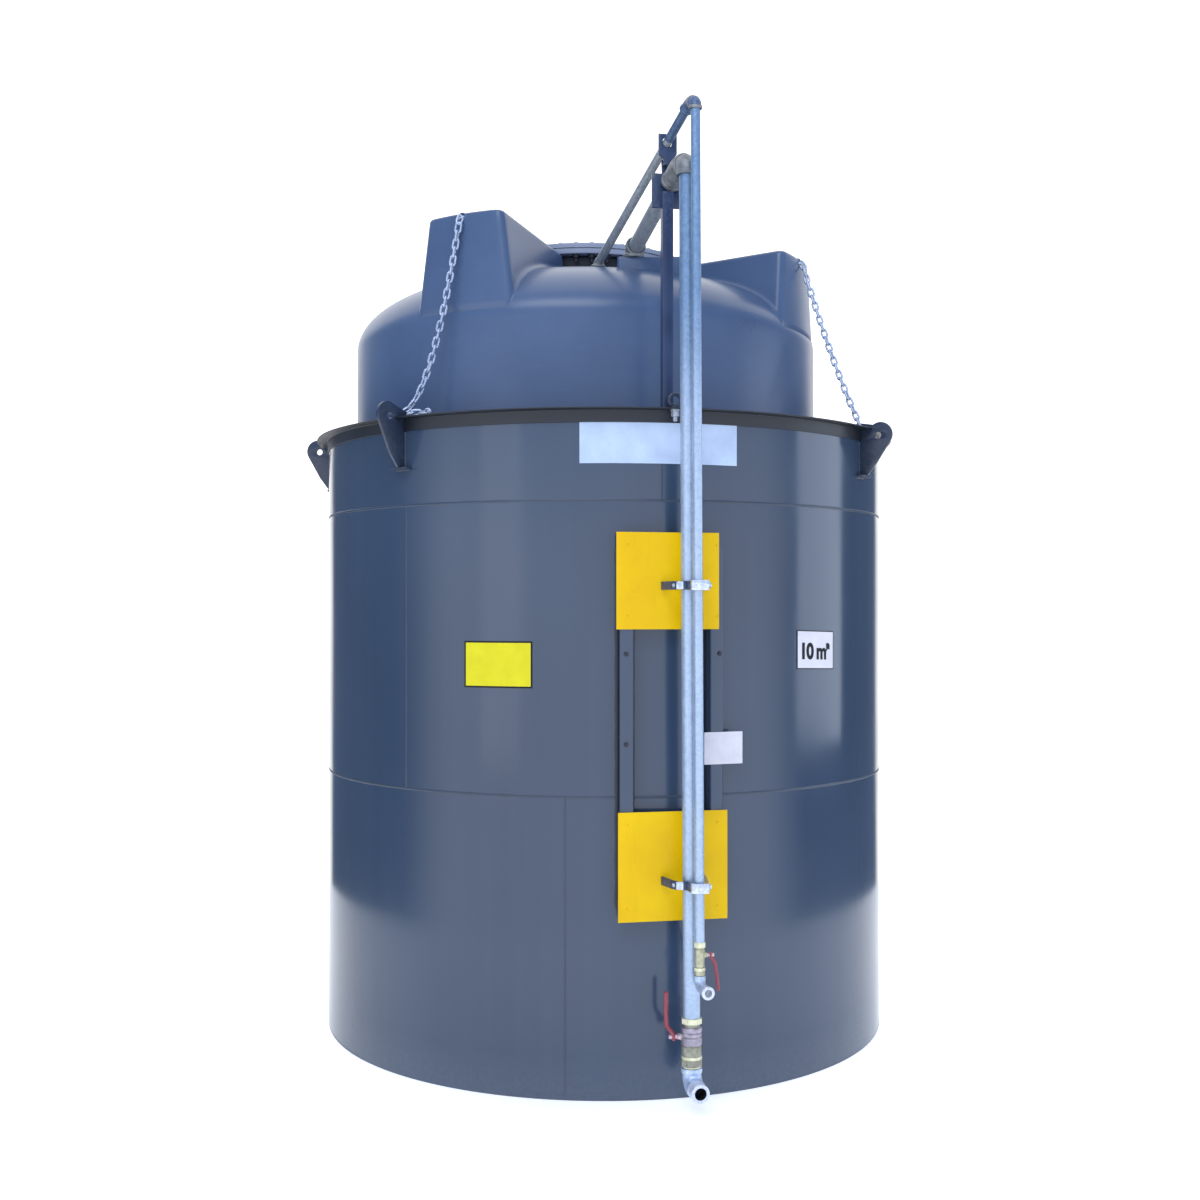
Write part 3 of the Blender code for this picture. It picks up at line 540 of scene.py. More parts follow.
def shank(at, out, radius, length, sides):
    """A bolt's shank that stands out from a face and ends in a chamfer."""
    line = [(0, 0), (radius, 0), (radius, length - 0.002), (radius - 0.0015, length), (0, length)]
    return turned(line, sides, at, out)


# Electroplated zinc is bright and cool, with a haze from handling in spots of 11 mm
zinc_bolt = clouded_of("bright_zinc_plating", "9AA3B1", "B4BBC7", 90.0, (0.28, 0.5), Metallic=0.6)
out = outward(EYE_AZIMUTH)
at = out * EYE_DISTANCE
section = arc_of((EYE_RING, 0), EYE_WIRE, 0, 360, 14)[:-1]
collar = [(0, 0), (0.018, 0), (0.018, 0.004), (0.013, 0.008), (0.009, 0.012), (0, 0.012)]
eye_ring = [turned(section, 40, at + up * EYE_HEIGHT, out)]
eye_ring.append(turned(collar, 30, at + up * (BUND_HEIGHT + 0.0003)))
under = at + up * (RIM_UNDER - 0.0002)
nut = [*hexagon(under, -up, 0.026, 0.025), shank(under, -up, 0.008, 0.042, 20)]
piece("rim_eye_bolt_ring", {lug_enamel: eye_ring, zinc_bolt: nut}, "lug_steel", "rim_eye_bolt")

# Inner tank
# One rotomoulded polyethylene shell, 12 mm thick: a round wall with a domed shoulder that rises to
# the manway. The skin is satin, faintly mottled, with the mould's fine grain.
TANK_X = -0.080
TANK_RADIUS = 1.000
TANK_SHELL = 0.012
TANK_UNDER = BUND_FLOOR + 0.0005
TANK_FOOT_BEND = 0.060
SHOULDER_Z = 2.878
DOME = (0.620, 0.281)
CROWN_Z = SHOULDER_Z + DOME[1]
NECK_RADIUS = 0.380
NECK_BORE = NECK_RADIUS - 0.018
tank_axis = np.array([TANK_X, 0, 0])


def moulded_of(name, dark, light, gloss, grain_size, grain_depth):
    """Rotomoulded polyethylene: the powder leaves soft mottling and a fine grain, and handling leaves
    paler scuffs."""
    # The grain is under 2 mm, and is drawn at 5 or 6 mm so that it shows
    noises = {"cloud": (2.0, 6.0, 0.6), "grain": (1 / grain_size, 2.0, 0.5)}
    spreads = {"tones": (0.32, 0.68), "dulls": (0.3, 0.75), "relief": (0.2, grain_depth), "IOR": 1.5}
    made = coat_of(name, dark, light, gloss, **noises, **spreads)
    material, tree, shader, place, base, _ = made
    # Scuffs are streaks about 150 mm long and 30 mm apart, off the level
    turn = {"Rotation": (0.3, 0.5, 0.2), "Scale": (3.0, 3.0, 16.0)}
    rub = {"Vector": add(tree, "Mapping", {"Vector": place, **turn}), "Scale": 2.2}
    rub = add(tree, "TexNoise", {**rub, "Detail": 8.0, "Roughness": 0.75})
    scuff = add(tree, "MapRange", {"Value": rub, 1: 0.58, 2: 0.8, 4: 0.22})
    colour = add(tree, "Mix", {0: scuff, 6: base, 7: srgb("5F7598")}, data_type="RGBA")
    plug(shader, {"Base Color": colour.outputs[2]})
    return material


def tank_line(inset):
    """Half the tank's section: the bend at its foot, its wall, a quarter of an oval over the
    shoulder, then level to the manway."""
    bend_at = (TANK_RADIUS - TANK_FOOT_BEND, TANK_UNDER + TANK_FOOT_BEND)
    bend = arc_of(bend_at, TANK_FOOT_BEND - inset, -90, 0, 8)
    level = np.linspace(0.12, SHOULDER_Z - 0.03, 40)
    wall = np.stack([np.full(40, TANK_RADIUS - inset), level], axis=1)
    turn = np.linspace(0, math.pi / 2, 40)[:, None]
    oval = np.hstack([np.cos(turn), np.sin(turn)]) * (np.array(DOME) - inset)
    dome = oval + (TANK_RADIUS - DOME[0], SHOULDER_Z)
    return np.vstack([(0, TANK_UNDER + inset), bend, wall, dome, (NECK_BORE, CROWN_Z - inset)])


tank_plastic = moulded_of("tank_polyethylene", "3E5271", "475C7C", (0.26, 0.36), 0.006, 0.0003)
shell = turned(np.vstack([tank_line(0), tank_line(TANK_SHELL)[::-1]]), 320, tank_axis)
nodes = ["tank_floor", "tank_wall_front", "tank_wall_right", "tank_wall_left", "tank_roof"]
piece("tank_shell", {tank_plastic: [shell]}, "tank_plastic", *nodes, crease=60)

# Ears
# Three hollow blocks moulded into the tank's shoulder, which the chains pull down on. Each is flush
# with the wall, tapers upwards, slopes down towards the manway and runs into the dome with a fillet.
EARS = ((-28.1, 3.284, 0.050), (64.5, 3.221, 0.012), (198.0, 3.250, 0.029))
EAR_FOOT_Z = 2.861
EAR_REACH = (0.999, 0.985)
EAR_HALF_WIDTH = (0.228, 0.170)
EAR_INNER_END = (0.392, 0.400)
EAR_INNER_HALF = (0.152, 0.118)
EAR_BEVEL = 0.014
EAR_FILLET = 0.020


def ear_ring(share, inset):
    """An ear's outline in plan at a share of its height: four rounded corners, the outer side curved
    with the wall. Rings have the same points, so that they join."""
    sizes = (EAR_REACH, EAR_HALF_WIDTH, EAR_INNER_END, EAR_INNER_HALF)
    reach, half, inner, inner_half = (foot + (top - foot) * share for foot, top in sizes)
    reach, half, inner, inner_half = reach - inset, half - inset, inner + inset, inner_half - inset
    corners = [(-half, -reach), (half, -reach), (inner_half, -inner), (-inner_half, -inner)]
    bends = rounded(corners, (0.024, 0.024, 0.035, 0.035), 7).reshape(4, 8, 2)
    between = np.linspace(0, 1, 22)[1:-1, None]
    sides = []
    for bend, after in zip(bends, np.roll(bends, -1, axis=0)):
        sides += [bend, bend[-1] + (after[0] - bend[-1]) * between]
    ring = np.vstack(sides)
    bow = reach - np.sqrt(reach**2 - ring[:, 0] ** 2)
    ring[:, 1] += bow * np.clip((-ring[:, 1] - inner) / (reach - inner), 0, 1)
    return ring


def dome_height(distance):
    """How high the tank's skin is at a distance from its axis."""
    across = np.clip((distance - (TANK_RADIUS - DOME[0])) / DOME[0], 0, 1)
    return SHOULDER_Z + DOME[1] * np.sqrt(1 - across**2)


def dome_slope(points):
    """The direction square to the dome: an oval's own, from the place across it."""
    distance = np.hypot(points[:, 0], points[:, 1])[:, None]
    lean = np.clip((distance - (TANK_RADIUS - DOME[0])) / DOME[0], 0, 1)
    level = points[:, :2] / distance * lean / DOME[0]
    return unit(np.hstack([level, np.sqrt(1 - lean**2) / DOME[1]]))


def ear_shell(azimuth, top, fall):
    """An ear as rings from the middle of its top, over its bevel, down its wall to the dome, out
    along the fillet, and back in under the skin."""
    fall_per_metre = fall / (EAR_REACH[1] - EAR_INNER_END[1])

    def top_at(ring):
        return top - fall_per_metre * (EAR_REACH[1] + ring[:, 1])

    cap = ear_ring(1, EAR_BEVEL)
    middle = np.array([0, cap[:, 1].mean()])
    rings = []
    for size in (0.0, 0.3, 0.6, 0.85):
        flat = middle + (cap - middle) * size
        rings.append(np.column_stack([flat, top_at(flat)]))
    share_low = 1 - EAR_BEVEL / (top - EAR_FOOT_Z)
    for turn in np.radians(np.linspace(90, 0, 6)):
        rise = 1 - math.sin(turn)
        ring = ear_ring(1 - (1 - share_low) * rise, EAR_BEVEL * (1 - math.cos(turn)))
        rings.append(np.column_stack([ring, top_at(ring) - EAR_BEVEL * rise]))
    lines = []
    for share in np.linspace(share_low, -0.08, 220):
        ring = ear_ring(share, 0)
        lines.append(np.column_stack([ring, EAR_FOOT_Z + (top_at(ring) - EAR_FOOT_Z) * share]))
    lines = np.stack(lines)
    distance = np.hypot(lines[..., 0], lines[..., 1])
    inside = (lines[..., 2] < dome_height(distance)) & (distance < TANK_RADIUS)
    inside[-1] = True
    foot = lines[inside.argmax(axis=0), np.arange(lines.shape[1])]
    edge = rings[-1]
    rise, slope = unit(edge - foot), dome_slope(foot)
    along = np.roll(foot, -1, axis=0) - np.roll(foot, 1, axis=0)
    side = unit(np.cross(along, up))
    facing = (side * slope).sum(axis=1, keepdims=True)
    radius = EAR_FILLET * np.clip(1 - facing, 0, 1)
    away = side - facing * slope
    away /= np.maximum(np.linalg.norm(away, axis=1, keepdims=True), 1e-6)
    rings += [edge + (foot + rise * radius - edge) * share for share in np.linspace(0, 1, 12)[1:-1]]
    for turn in np.radians(np.linspace(0, 90, 7)):
        ring = foot + radius * ((1 - math.sin(turn)) * rise + (1 - math.cos(turn)) * away)
        rings.append(ring - slope * (0.0002 + 0.0006 * math.sin(turn)))
    rings.append(rings[-1] - slope * 0.02 - away * 0.01)
    grid = np.stack(rings) @ np.array([sideways(azimuth), -outward(azimuth), up])
    return skin(grid + tank_axis, ends=True)


for number, ear in enumerate(EARS, 1):
    shells = {tank_plastic: [ear_shell(*ear)]}
    piece(f"ear_{number}_block", shells, "tank_plastic", f"tank_ear_{number}", crease=50)

# Manway
# A moulded neck with a flange on top of the dome, closed by a flat lid with a rolled edge. Bolts go
# down through both. Their ends under the flange are near black, and so is a ring round the neck there:
# both are painted shade in the gap under the flange.
FLANGE_RADIUS = 0.430
LID_RADIUS = FLANGE_RADIUS + 0.004
LID_TOP = 3.285
LID_BOLTS = 40
LID_BOLT_CIRCLE = FLANGE_RADIUS - 0.016
FLANGE_Z = (LID_TOP - 0.045, LID_TOP - 0.021)
EAR_COVERS = 22

lid_plastic = moulded_of("lid_polyethylene", "7C869A", "98A0B2", (0.4, 0.52), 0.005, 0.0004)
# Near black and dull, with a bloom in patches of 12 mm: painted shade for the gap under the manway's
# flange
shade_black = clouded_of("painted_shade_black", "0B0E14", "242B38", 80.0, (0.5, 0.7), 0.6)

neck = [(NECK_BORE, CROWN_Z + 0.0003), (NECK_RADIUS + 0.008, CROWN_Z + 0.0003)]
neck += [(NECK_RADIUS - 0.001, CROWN_Z + 0.012), (NECK_RADIUS - 0.002, FLANGE_Z[0])]
neck += [(FLANGE_RADIUS, FLANGE_Z[0]), (FLANGE_RADIUS, FLANGE_Z[1]), (NECK_BORE, FLANGE_Z[1])]
neck = turned(rounded(neck, (0, 0, 0.008, 0.008, 0.004, 0.003, 0.003)), 200, tank_axis)
piece("manway_neck_ring", {lid_plastic: [neck]}, "tank_plastic", "manway_neck")

lid = [(0, FLANGE_Z[1] + 0.0003), (LID_RADIUS, FLANGE_Z[1] + 0.0003), (LID_RADIUS, LID_TOP - 0.004)]
lid += [(LID_RADIUS - 0.006, LID_TOP), (LID_RADIUS - 0.034, LID_TOP)]
lid += [(LID_RADIUS - 0.042, LID_TOP - 0.006), (LID_RADIUS - 0.064, LID_TOP - 0.007)]
lid += [(0.200, LID_TOP - 0.002), (0, LID_TOP)]
piece("manway_lid_cover", {lid_plastic: [turned(lid, 200, tank_axis)]}, "lid_plastic", "manway_lid")

heads, shaded_ends = [], []
for azimuth in np.arange(LID_BOLTS) * 360 / LID_BOLTS + 4:
    spot = outward(azimuth) * LID_BOLT_CIRCLE + tank_axis
    heads += hexagon(spot + up * (LID_TOP - 0.0005), up, 0.016, 0.006)
    # A bolt above an ear ends at the flange, because the ear comes up to it there
    if min(abs((azimuth - ear[0] + 180) % 360 - 180) for ear in EARS) >= EAR_COVERS:
        spot += up * FLANGE_Z[0]
        # Its end under the flange is drawn near black, as painted shade
        shaded_ends += [*hexagon(spot, -up, 0.021, 0.016), shank(spot, -up, 0.006, 0.036, 12)]
piece("manway_bolts", {zinc_bolt: heads, shade_black: shaded_ends}, "pipe_zinc")

# A near-black ring round the neck under the flange, as painted shade in the gap
shade_ring = [(NECK_RADIUS - 0.003, CROWN_Z + 0.020), (NECK_RADIUS + 0.010, CROWN_Z + 0.024)]
shade_ring += [(NECK_RADIUS + 0.014, FLANGE_Z[0] - 0.010), (NECK_RADIUS + 0.008, FLANGE_Z[0] + 0.001)]
shade_ring.append((NECK_RADIUS - 0.003, FLANGE_Z[0] + 0.001))
piece("manway_shade_ring", {shade_black: [turned(rounded(shade_ring, 0.003, 2), 180, tank_axis)]}, "lid_plastic")

# Pipe pad
# A solid block welded to the dome in front of the manway, which the large line's foot stands on. It
# is of the tank's own plastic, with eased edges.
PAD_TOP = 3.154
PAD_SIDES = (0.052, 0.330, -0.72, -0.50)
PAD_EDGE = 0.006
PAD_FOOT = 2.99

outline = rounded(oblong(*PAD_SIDES), PAD_EDGE * 2, 5)
middle = np.array([PAD_SIDES[0] + PAD_SIDES[1], PAD_SIDES[2] + PAD_SIDES[3]]) / 2
size = np.array([PAD_SIDES[1] - PAD_SIDES[0], PAD_SIDES[3] - PAD_SIDES[2]])
rings = [np.column_stack([outline, np.full(len(outline), PAD_FOOT)])]
for turn in np.radians(np.linspace(0, 90, 5)):
    ring = middle + (outline - middle) * (1 - 2 * PAD_EDGE * (1 - math.cos(turn)) / size)
    rings.append(np.column_stack([ring, np.full(len(ring), PAD_TOP - PAD_EDGE * (1 - math.sin(turn)))]))
pad = {tank_plastic: [skin(np.stack(rings), ends=True)]}
piece("pipe_pad_block", pad, "tank_plastic", "pipe_pad")

# Chains
# Three lengths of 8 mm galvanised short-link chain, 32 mm to a link. Each comes out of a moulded hole
# under its ear's top edge and hangs to a lug's nose on the bund's rim, where its spare links lie.
CHAINS = ((0.170, -0.006, 0.026), (0.035, 0.008, 0.010), (0.100, -0.006, 0.026))
CHAIN_HOLE_DROP = 0.022
CHAIN_HOLE_RADIUS = 0.0165
LINK_PITCH = 0.0315
LINK_WIRE = 0.0044
LINK_HALF_WIDTH = 0.0145


def galvanised_of(name, dark, light, flake, rough, brightness=0.85, lumps=0.12):
    """Hot-dip galvanising: zinc crystals a few millimetres across that take the light differently,
    under a thin pale bloom."""
    material, tree, shader = finish_of(name, light, rough[0], Metallic=brightness)
    place = add(tree, "TexCoord").outputs["Object"]
    crystal = add(tree, "TexVoronoi", {"Vector": place, "Scale": 1 / flake, "Randomness": 1.0})
    bloom = add(tree, "TexNoise", {"Vector": place, "Scale": 14.0, "Detail": 6.0, "Roughness": 0.6})
    shade = add(tree, "SeparateColor", {0: crystal.outputs["Color"]})
    both = add(tree, "Mix", {0: 0.55, 2: shade, 3: bloom})
    tone = add(tree, "MapRange", {"Value": both, 1: 0.25, 2: 0.75})
    base = add(tree, "Mix", {0: tone, 6: srgb(dark), 7: srgb(light)}, data_type="RGBA").outputs[2]
    dull = add(tree, "MapRange", {"Value": shade, 3: rough[0], 4: rough[1]})
    relief = add(tree, "Bump", {"Height": bloom, "Strength": lumps, "Distance": 0.001})
    plug(shader, {"Base Color": base, "Roughness": dull, "Normal": relief})
    return material


chain_zinc = galvanised_of("galvanised_chain", "98A6BE", "C4CFE2", 0.004, (0.3, 0.45), 0.5)
# Near black and lumpy at 8 mm: dark oxide in the outlets' bores, and painted shade in the ears' chain
# holes
hollow_oxide_and_shade = clouded_of("hollow_oxide_and_painted_shade", "07090D", "151A22", 120.0, (0.7, 0.9), 0.3)


def link_grid():
    """A chain link lying along X: a round wire carried along two half circles and two straights."""
    spokes = arc_of((0, 0), 1, -90, 90, 8)
    straight = LINK_PITCH / 2 - LINK_HALF_WIDTH + 2 * LINK_WIRE
    right = spokes * (LINK_HALF_WIDTH - LINK_WIRE) + (straight, 0)
    path, spokes = np.vstack([right, -right]), np.vstack([spokes, -spokes])
    grid = np.zeros((len(path), 8, 3))
    grid[..., :2] = path[:, None] + spokes[:, None] * np.cos(turns(8))[:, None] * LINK_WIRE
    grid[..., 2] = np.sin(turns(8)) * LINK_WIRE
    return grid


def laid_links(path, first_turn):
    """Links set along a path one pitch apart, each turned a quarter from the one before it."""
    run, link, shells = run_along(path), link_grid(), []
    count = round(run[-1] / LINK_PITCH)
    at = (np.arange(count) + 0.5) * run[-1] / count

    def point_at(distance):
        return np.stack([np.interp(distance, run, values) for values in path.T], axis=1)

    along = unit(point_at(at + LINK_PITCH / 2) - point_at(at - LINK_PITCH / 2))
    aside = unit(np.cross(along, (0.13, 0.21, 0.97)))
    for i, centre in enumerate(point_at(at)):
        turn = math.radians(first_turn + 90 * (i % 2) + 7 * math.sin(2.3 * i))
        width = math.cos(turn) * aside[i] + math.sin(turn) * np.cross(along[i], aside[i])
        axes = np.array([along[i], width, np.cross(along[i], width)])
        shells.append(skin(centre + link @ axes, True))
    return shells


share, rest = np.linspace(0, 1, 60)[:, None], np.linspace(0, 1, 30)
for number, (ear, lug, (sag, nose_out, nose_up)) in enumerate(zip(EARS, CHAIN_LUGS, CHAINS), 1):
    out = outward(ear[0])
    hole = out * EAR_REACH[1] + tank_axis + up * (ear[1] - CHAIN_HOLE_DROP)
    start = hole + out * CHAIN_HOLE_RADIUS - up * 0.014
    nose = outward(lug - 0.8) * (BUND_RADIUS + nose_out) + up * (BUND_HEIGHT + nose_up)
    hang = start + (nose - start) * share - up * 4 * sag * share * (1 - share)
    chain = laid_links(np.vstack([hole - out * 0.028, hole + out * 0.009, hang]), 20.0)
    # The spare links lie on the rim beside the lug
    spare = outward(lug + 2.0 + 5.0 * rest) * (BUND_RADIUS + 0.012 + 0.010 * np.sin(rest * 7))[:, None]
    chain += laid_links(spare + up * (BUND_HEIGHT + 0.0135), 45.0)
    piece(f"chain_{number}_links", {chain_zinc: chain}, "chain_zinc", f"tie_chain_{number}", crease=60)
    cup = oblong(0, CHAIN_HOLE_RADIUS, 0.0012, -0.01)
    lip = [(CHAIN_HOLE_RADIUS, -0.006), (0.022, -0.006), (0.0215, 0.0015), (0.019, 0.003)]
    lip.append((CHAIN_HOLE_RADIUS, 0.0015))
    cup, lip = (turned(line, 32, hole - out * 0.0015, out) for line in (cup, lip))
    # The chain hole's cup is near black: painted shade inside it
    piece(f"ear_{number}_hole", {hollow_oxide_and_shade: [cup], tank_plastic: [lip]}, "tank_plastic")

# Post
# A 40 mm square steel tube that stands inside the bund against the wall and carries both lines over
# its edge. A plate welded behind its top is notched for the large line, and another one in front of
# that, on a spacer, is drilled for the small one.
POST_AZIMUTH = 11.2
POST_HALF = 0.020
POST_TOP = 3.274
POST_DISTANCE = BUND_RADIUS - BUND_WALL - 0.0015 - POST_HALF
SADDLE_DISTANCE = POST_DISTANCE - POST_HALF - 0.0062
SADDLE_THICKNESS = 0.012
LARGE_RADIUS = 0.03015
SMALL_RADIUS = 0.01685
LARGE_VALVE_XY = (0.309, -1.289)
SMALL_VALVE_XY = (0.333, -1.354)
LARGE_CORNERS = [(*LARGE_VALVE_XY, 0.328), (0.294, -1.289, 3.338), (0.270, -1.215, 3.347)]
LARGE_CORNERS = np.array([*LARGE_CORNERS, (0.118, -0.694, 3.185)])
SMALL_CORNERS = [(*SMALL_VALVE_XY, 0.608), (0.318, -1.354, 3.535), (0.299, -1.300, 3.541)]
SMALL_CORNERS = np.array([*SMALL_CORNERS, (-0.024, -0.615, 3.150)])

post_enamel = worn_enamel_of("post_blue_enamel", "1F2E4C", "2A3C5E", "6F7A8C", (0.3, 0.46), 0.4)
post_out, post_side = outward(POST_AZIMUTH), sideways(POST_AZIMUTH)


def upright_bar(section, bottom, top, centre, side, out):
    """A section (sideways, outwards) carried straight up, closed at both ends."""
    plan = centre + section[:, :1] * side + section[:, 1:] * out
    return skin(plan + np.linspace(bottom, top, 24)[:, None, None] * up, ends=True)


def crossing(start, end, distance):
    """Where a line meets an upright plane across the post, as (sideways, height)."""
    run = end - start
    spot = start + run * (distance - start @ post_out) / (run @ post_out)
    return np.array([spot @ post_side, spot[2]])


def across_post(outlines, thickness, edge, distance):
    """A plate cut to outlines (sideways, height), set square across the post's way out."""
    return cut_plate(outlines, thickness, edge, post_out * distance, post_side, up)


square = rounded(oblong(-POST_HALF, POST_HALF, -POST_HALF, POST_HALF), 0.004)
foot_at = post_out * POST_DISTANCE
post = [upright_bar(square, BUND_FLOOR + 0.0003, POST_TOP, foot_at, post_side, post_out)]
notch = arc_of(crossing(*LARGE_CORNERS[2:], SADDLE_DISTANCE), LARGE_RADIUS + 0.0014, 20, -250, 24)
cheeks = [(-0.050, 3.226), (0.066, 3.226), (0.066, 3.343), *notch, (0.024, 3.356), (0.024, 3.400)]
cheeks += [(-0.014, 3.400), (-0.012, 3.350), (-0.050, 3.350)]
post.append(across_post([cheeks], SADDLE_THICKNESS, 0.001, SADDLE_DISTANCE))
small_at = crossing(*SMALL_CORNERS[2:], POST_DISTANCE)
# The hole is taller than wide, because the line runs down through it
way = (arc_of(small_at, SMALL_RADIUS + 0.0015, 0, 345, 23) - small_at) * (1, 1.1) + small_at
head = [(-0.010, 3.374), (0.020, 3.374), (0.024, 3.398), (0.036, 3.414)]
head += [(0.036, 3.486), (-0.031, 3.486), (-0.031, 3.414), (-0.014, 3.398)]
post.append(across_post([head, way], SADDLE_THICKNESS, 0.001, POST_DISTANCE))
spacer = oblong(-0.010, 0.020, 3.376, 3.398)
post.append(across_post([spacer], 0.016, 0.0005, (POST_DISTANCE + SADDLE_DISTANCE) / 2))
piece("post_and_saddle", {post_enamel: post}, "post_steel", "pipe_post", crease=30)

# Pipes
# The 2 inch fill line and the 1 inch line are galvanised steel tube to the outer diameters of
# standard pipe, screwed into galvanised malleable elbows with beaded ends. The zinc on the runs over
# the bund's edge has weathered to grey.
LARGE_FITTING = 0.0365
LARGE_SWING = 0.0375
SMALL_FITTING = 0.0215

pipe_zinc = galvanised_of("galvanised_tube", "A2B5CB", "B6C7DB", 0.009, (0.3, 0.42), 0.5, 0.03)
# The risers are darker and bluer above the bund, from 2.35 m to 2.9 m up
tree = pipe_zinc.node_tree
shader = tree.nodes["Principled BSDF"]
level = add(tree, "SeparateXYZ", {0: add(tree, "TexCoord").outputs["Object"]}).outputs["Z"]
aloft = add(tree, "MapRange", {"Value": level, 1: 2.35, 2: 2.9}, interpolation_type="SMOOTHSTEP")
dulled = {0: aloft, 6: shader.inputs["Base Color"].links[0].from_socket, 7: srgb("B3C7D7")}
dulled = add(tree, "Mix", dulled, data_type="RGBA", blend_type="MULTIPLY")
plug(shader, {"Base Color": dulled.outputs[2]})
aged = {"brightness": 0.4, "lumps": 0.05}
weathered_zinc = galvanised_of("weathered_galvanised", "858D94", "9CA3A8", 0.009, (0.42, 0.55), **aged)
fitting_zinc = galvanised_of("galvanised_malleable", "6A7178", "8D8D8C", 0.02, (0.42, 0.55), **aged)
# A dark blue-grey copy of the zinc for the small line's top elbows and the start of its slanted run:
# painted reflection
reflection_zinc = galvanised_of("galvanised_painted_reflection", "465A78", "566B8A", 0.012, (0.4, 0.5), **aged)


def bent(corners, bend, steps=12):
    """A path along straight runs with a round bend at each inner corner."""
    corners = np.array(corners, float)
    path = [corners[:1]]
    for before, corner, after in zip(corners, corners[1:], corners[2:]):
        into, away = unit(corner - before), unit(after - corner)
        half = math.acos(np.clip(into @ away, -1, 1)) / 2
        inward, onward = unit(away - into), unit(away + into)
        turn = np.linspace(-half, half, steps)[:, None]
        arc = inward / math.cos(half) + np.sin(turn) * onward - np.cos(turn) * inward
        path.append(corner + bend * arc)
    return np.vstack([*path, corners[-1:]])


def tube(path, radius, sides=40, beside=(0.0, 0.0, 1.0)):
    """A round section carried along a path, each ring square to the path."""
    along = unit(np.gradient(path, axis=0))
    aside = unit(np.cross(along, beside))
    turn = turns(sides)[:, None]
    spoke = np.cos(turn) * aside[:, None] + np.sin(turn) * np.cross(along, aside)[:, None]
    return skin(path[:, None] + spoke * radius, ends=True)


def straight(start, end, steps, radius, sides, beside=up):
    """A straight length of tube."""
    return tube(np.linspace(start, end, steps), radius, sides, beside)


def band(at, axis, radius, width, proud):
    """A beaded band round a fitting's end, its edges rounded."""
    outline = oblong(radius * 0.5, radius + proud, -width / 2, width / 2)
    return turned(rounded(outline, (0, proud * 0.8, proud * 0.8, 0), 3), 40, at, axis)


def elbow(corners, reach, radius, bead_width, beside):
    """A malleable elbow: a bend a little fatter than the pipe, then the bead at each mouth."""
    before, corner, after = corners
    into, away = unit(corner - before), unit(after - corner)
    first, last = corner - into * reach, corner + away * reach
    body = tube(bent([first, corner, last], reach * 0.8), radius, 40, beside)
    ends = ((first + into * bead_width / 2, into), (last - away * bead_width / 2, away))
    return [body, *(band(at, axis, radius, bead_width, radius * 0.12) for at, axis in ends)]


level_across = np.array([1.0, 0.3, 0.0])
start, corner, second, end = LARGE_CORNERS
run = unit(end - second)
riser = [straight(start, corner, 30, LARGE_RADIUS, 48, level_across)]
runs = [straight(corner, second, 4, LARGE_RADIUS, 48), straight(second, end, 12, LARGE_RADIUS, 48)]
fittings = elbow((start, corner, second), 0.044, LARGE_FITTING, 0.016, level_across)
swing = bent([second - (second - corner) * 0.4, second, second + run * 0.094], 0.030)
fittings.append(tube(swing, LARGE_SWING, 40, up + level_across))
fittings.append(band(second + run * 0.086, run, LARGE_SWING, 0.016, 0.0035))
foot = np.array([end[0], end[1], PAD_TOP + 0.0003])
fittings += elbow((second, end, foot), 0.034, LARGE_FITTING, 0.018, level_across)
collar = [(0, 0), (0.044, 0), (0.044, 0.008), (0.040, 0.012), (0.034, 0.014), (0, 0.014)]
fittings.append(turned(collar, 40, foot))
large_line = {pipe_zinc: riser, fitting_zinc: fittings, weathered_zinc: runs}
piece("large_line", large_line, "pipe_zinc", "large_pipe")

start, corner, second, end = SMALL_CORNERS
saddle_at = second + (end - second) * 0.20
riser = [straight(start, corner, 30, SMALL_RADIUS, 36, level_across)]
runs = [straight(corner, second, 4, SMALL_RADIUS, 36), straight(saddle_at, end, 12, SMALL_RADIUS, 36)]
body, *beads = elbow((start, corner, second), 0.030, SMALL_FITTING, 0.011, level_across)
# These parts take the dark blue-grey zinc, a painted reflection
reflecting_parts = [straight(second, saddle_at, 6, SMALL_RADIUS, 36), body]
reflecting_parts += elbow((corner, second, end), 0.030, SMALL_FITTING, 0.011, up + level_across)
seat = np.array([end[0], end[1], dome_height(math.hypot(end[0] - TANK_X, end[1])) - 0.004])
last_bend = tube(np.array([end + (second - end) * 0.02, end, seat]), 0.020, 36, level_across)
collar = [(0, 0), (0.030, 0), (0.030, 0.006), (0.024, 0.012), (0, 0.012)]
fittings = [*beads, last_bend, turned(collar, 36, seat + up * 0.001)]
small_line = {pipe_zinc: riser, fitting_zinc: fittings, weathered_zinc: runs, reflection_zinc: reflecting_parts}
piece("small_line", small_line, "pipe_zinc", "small_pipe")

# Rails
# Two 50 mm square steel tubes welded upright on the wall, with plugged bolt holes and end caps. They
# have the wall's own enamel. The dark strips beside them where they meet the wall are painted shade,
# the wider one on the left.
RAIL_AZIMUTHS = (3.7, 19.0)
RAIL_BOLTS = ((-0.002, (1.606, 1.284)), (0.010, (1.606,)))
RAIL_HALF = 0.025
RAIL_Z = (0.690, 1.990)
RAIL_FACE = BUND_RADIUS + 2 * RAIL_HALF

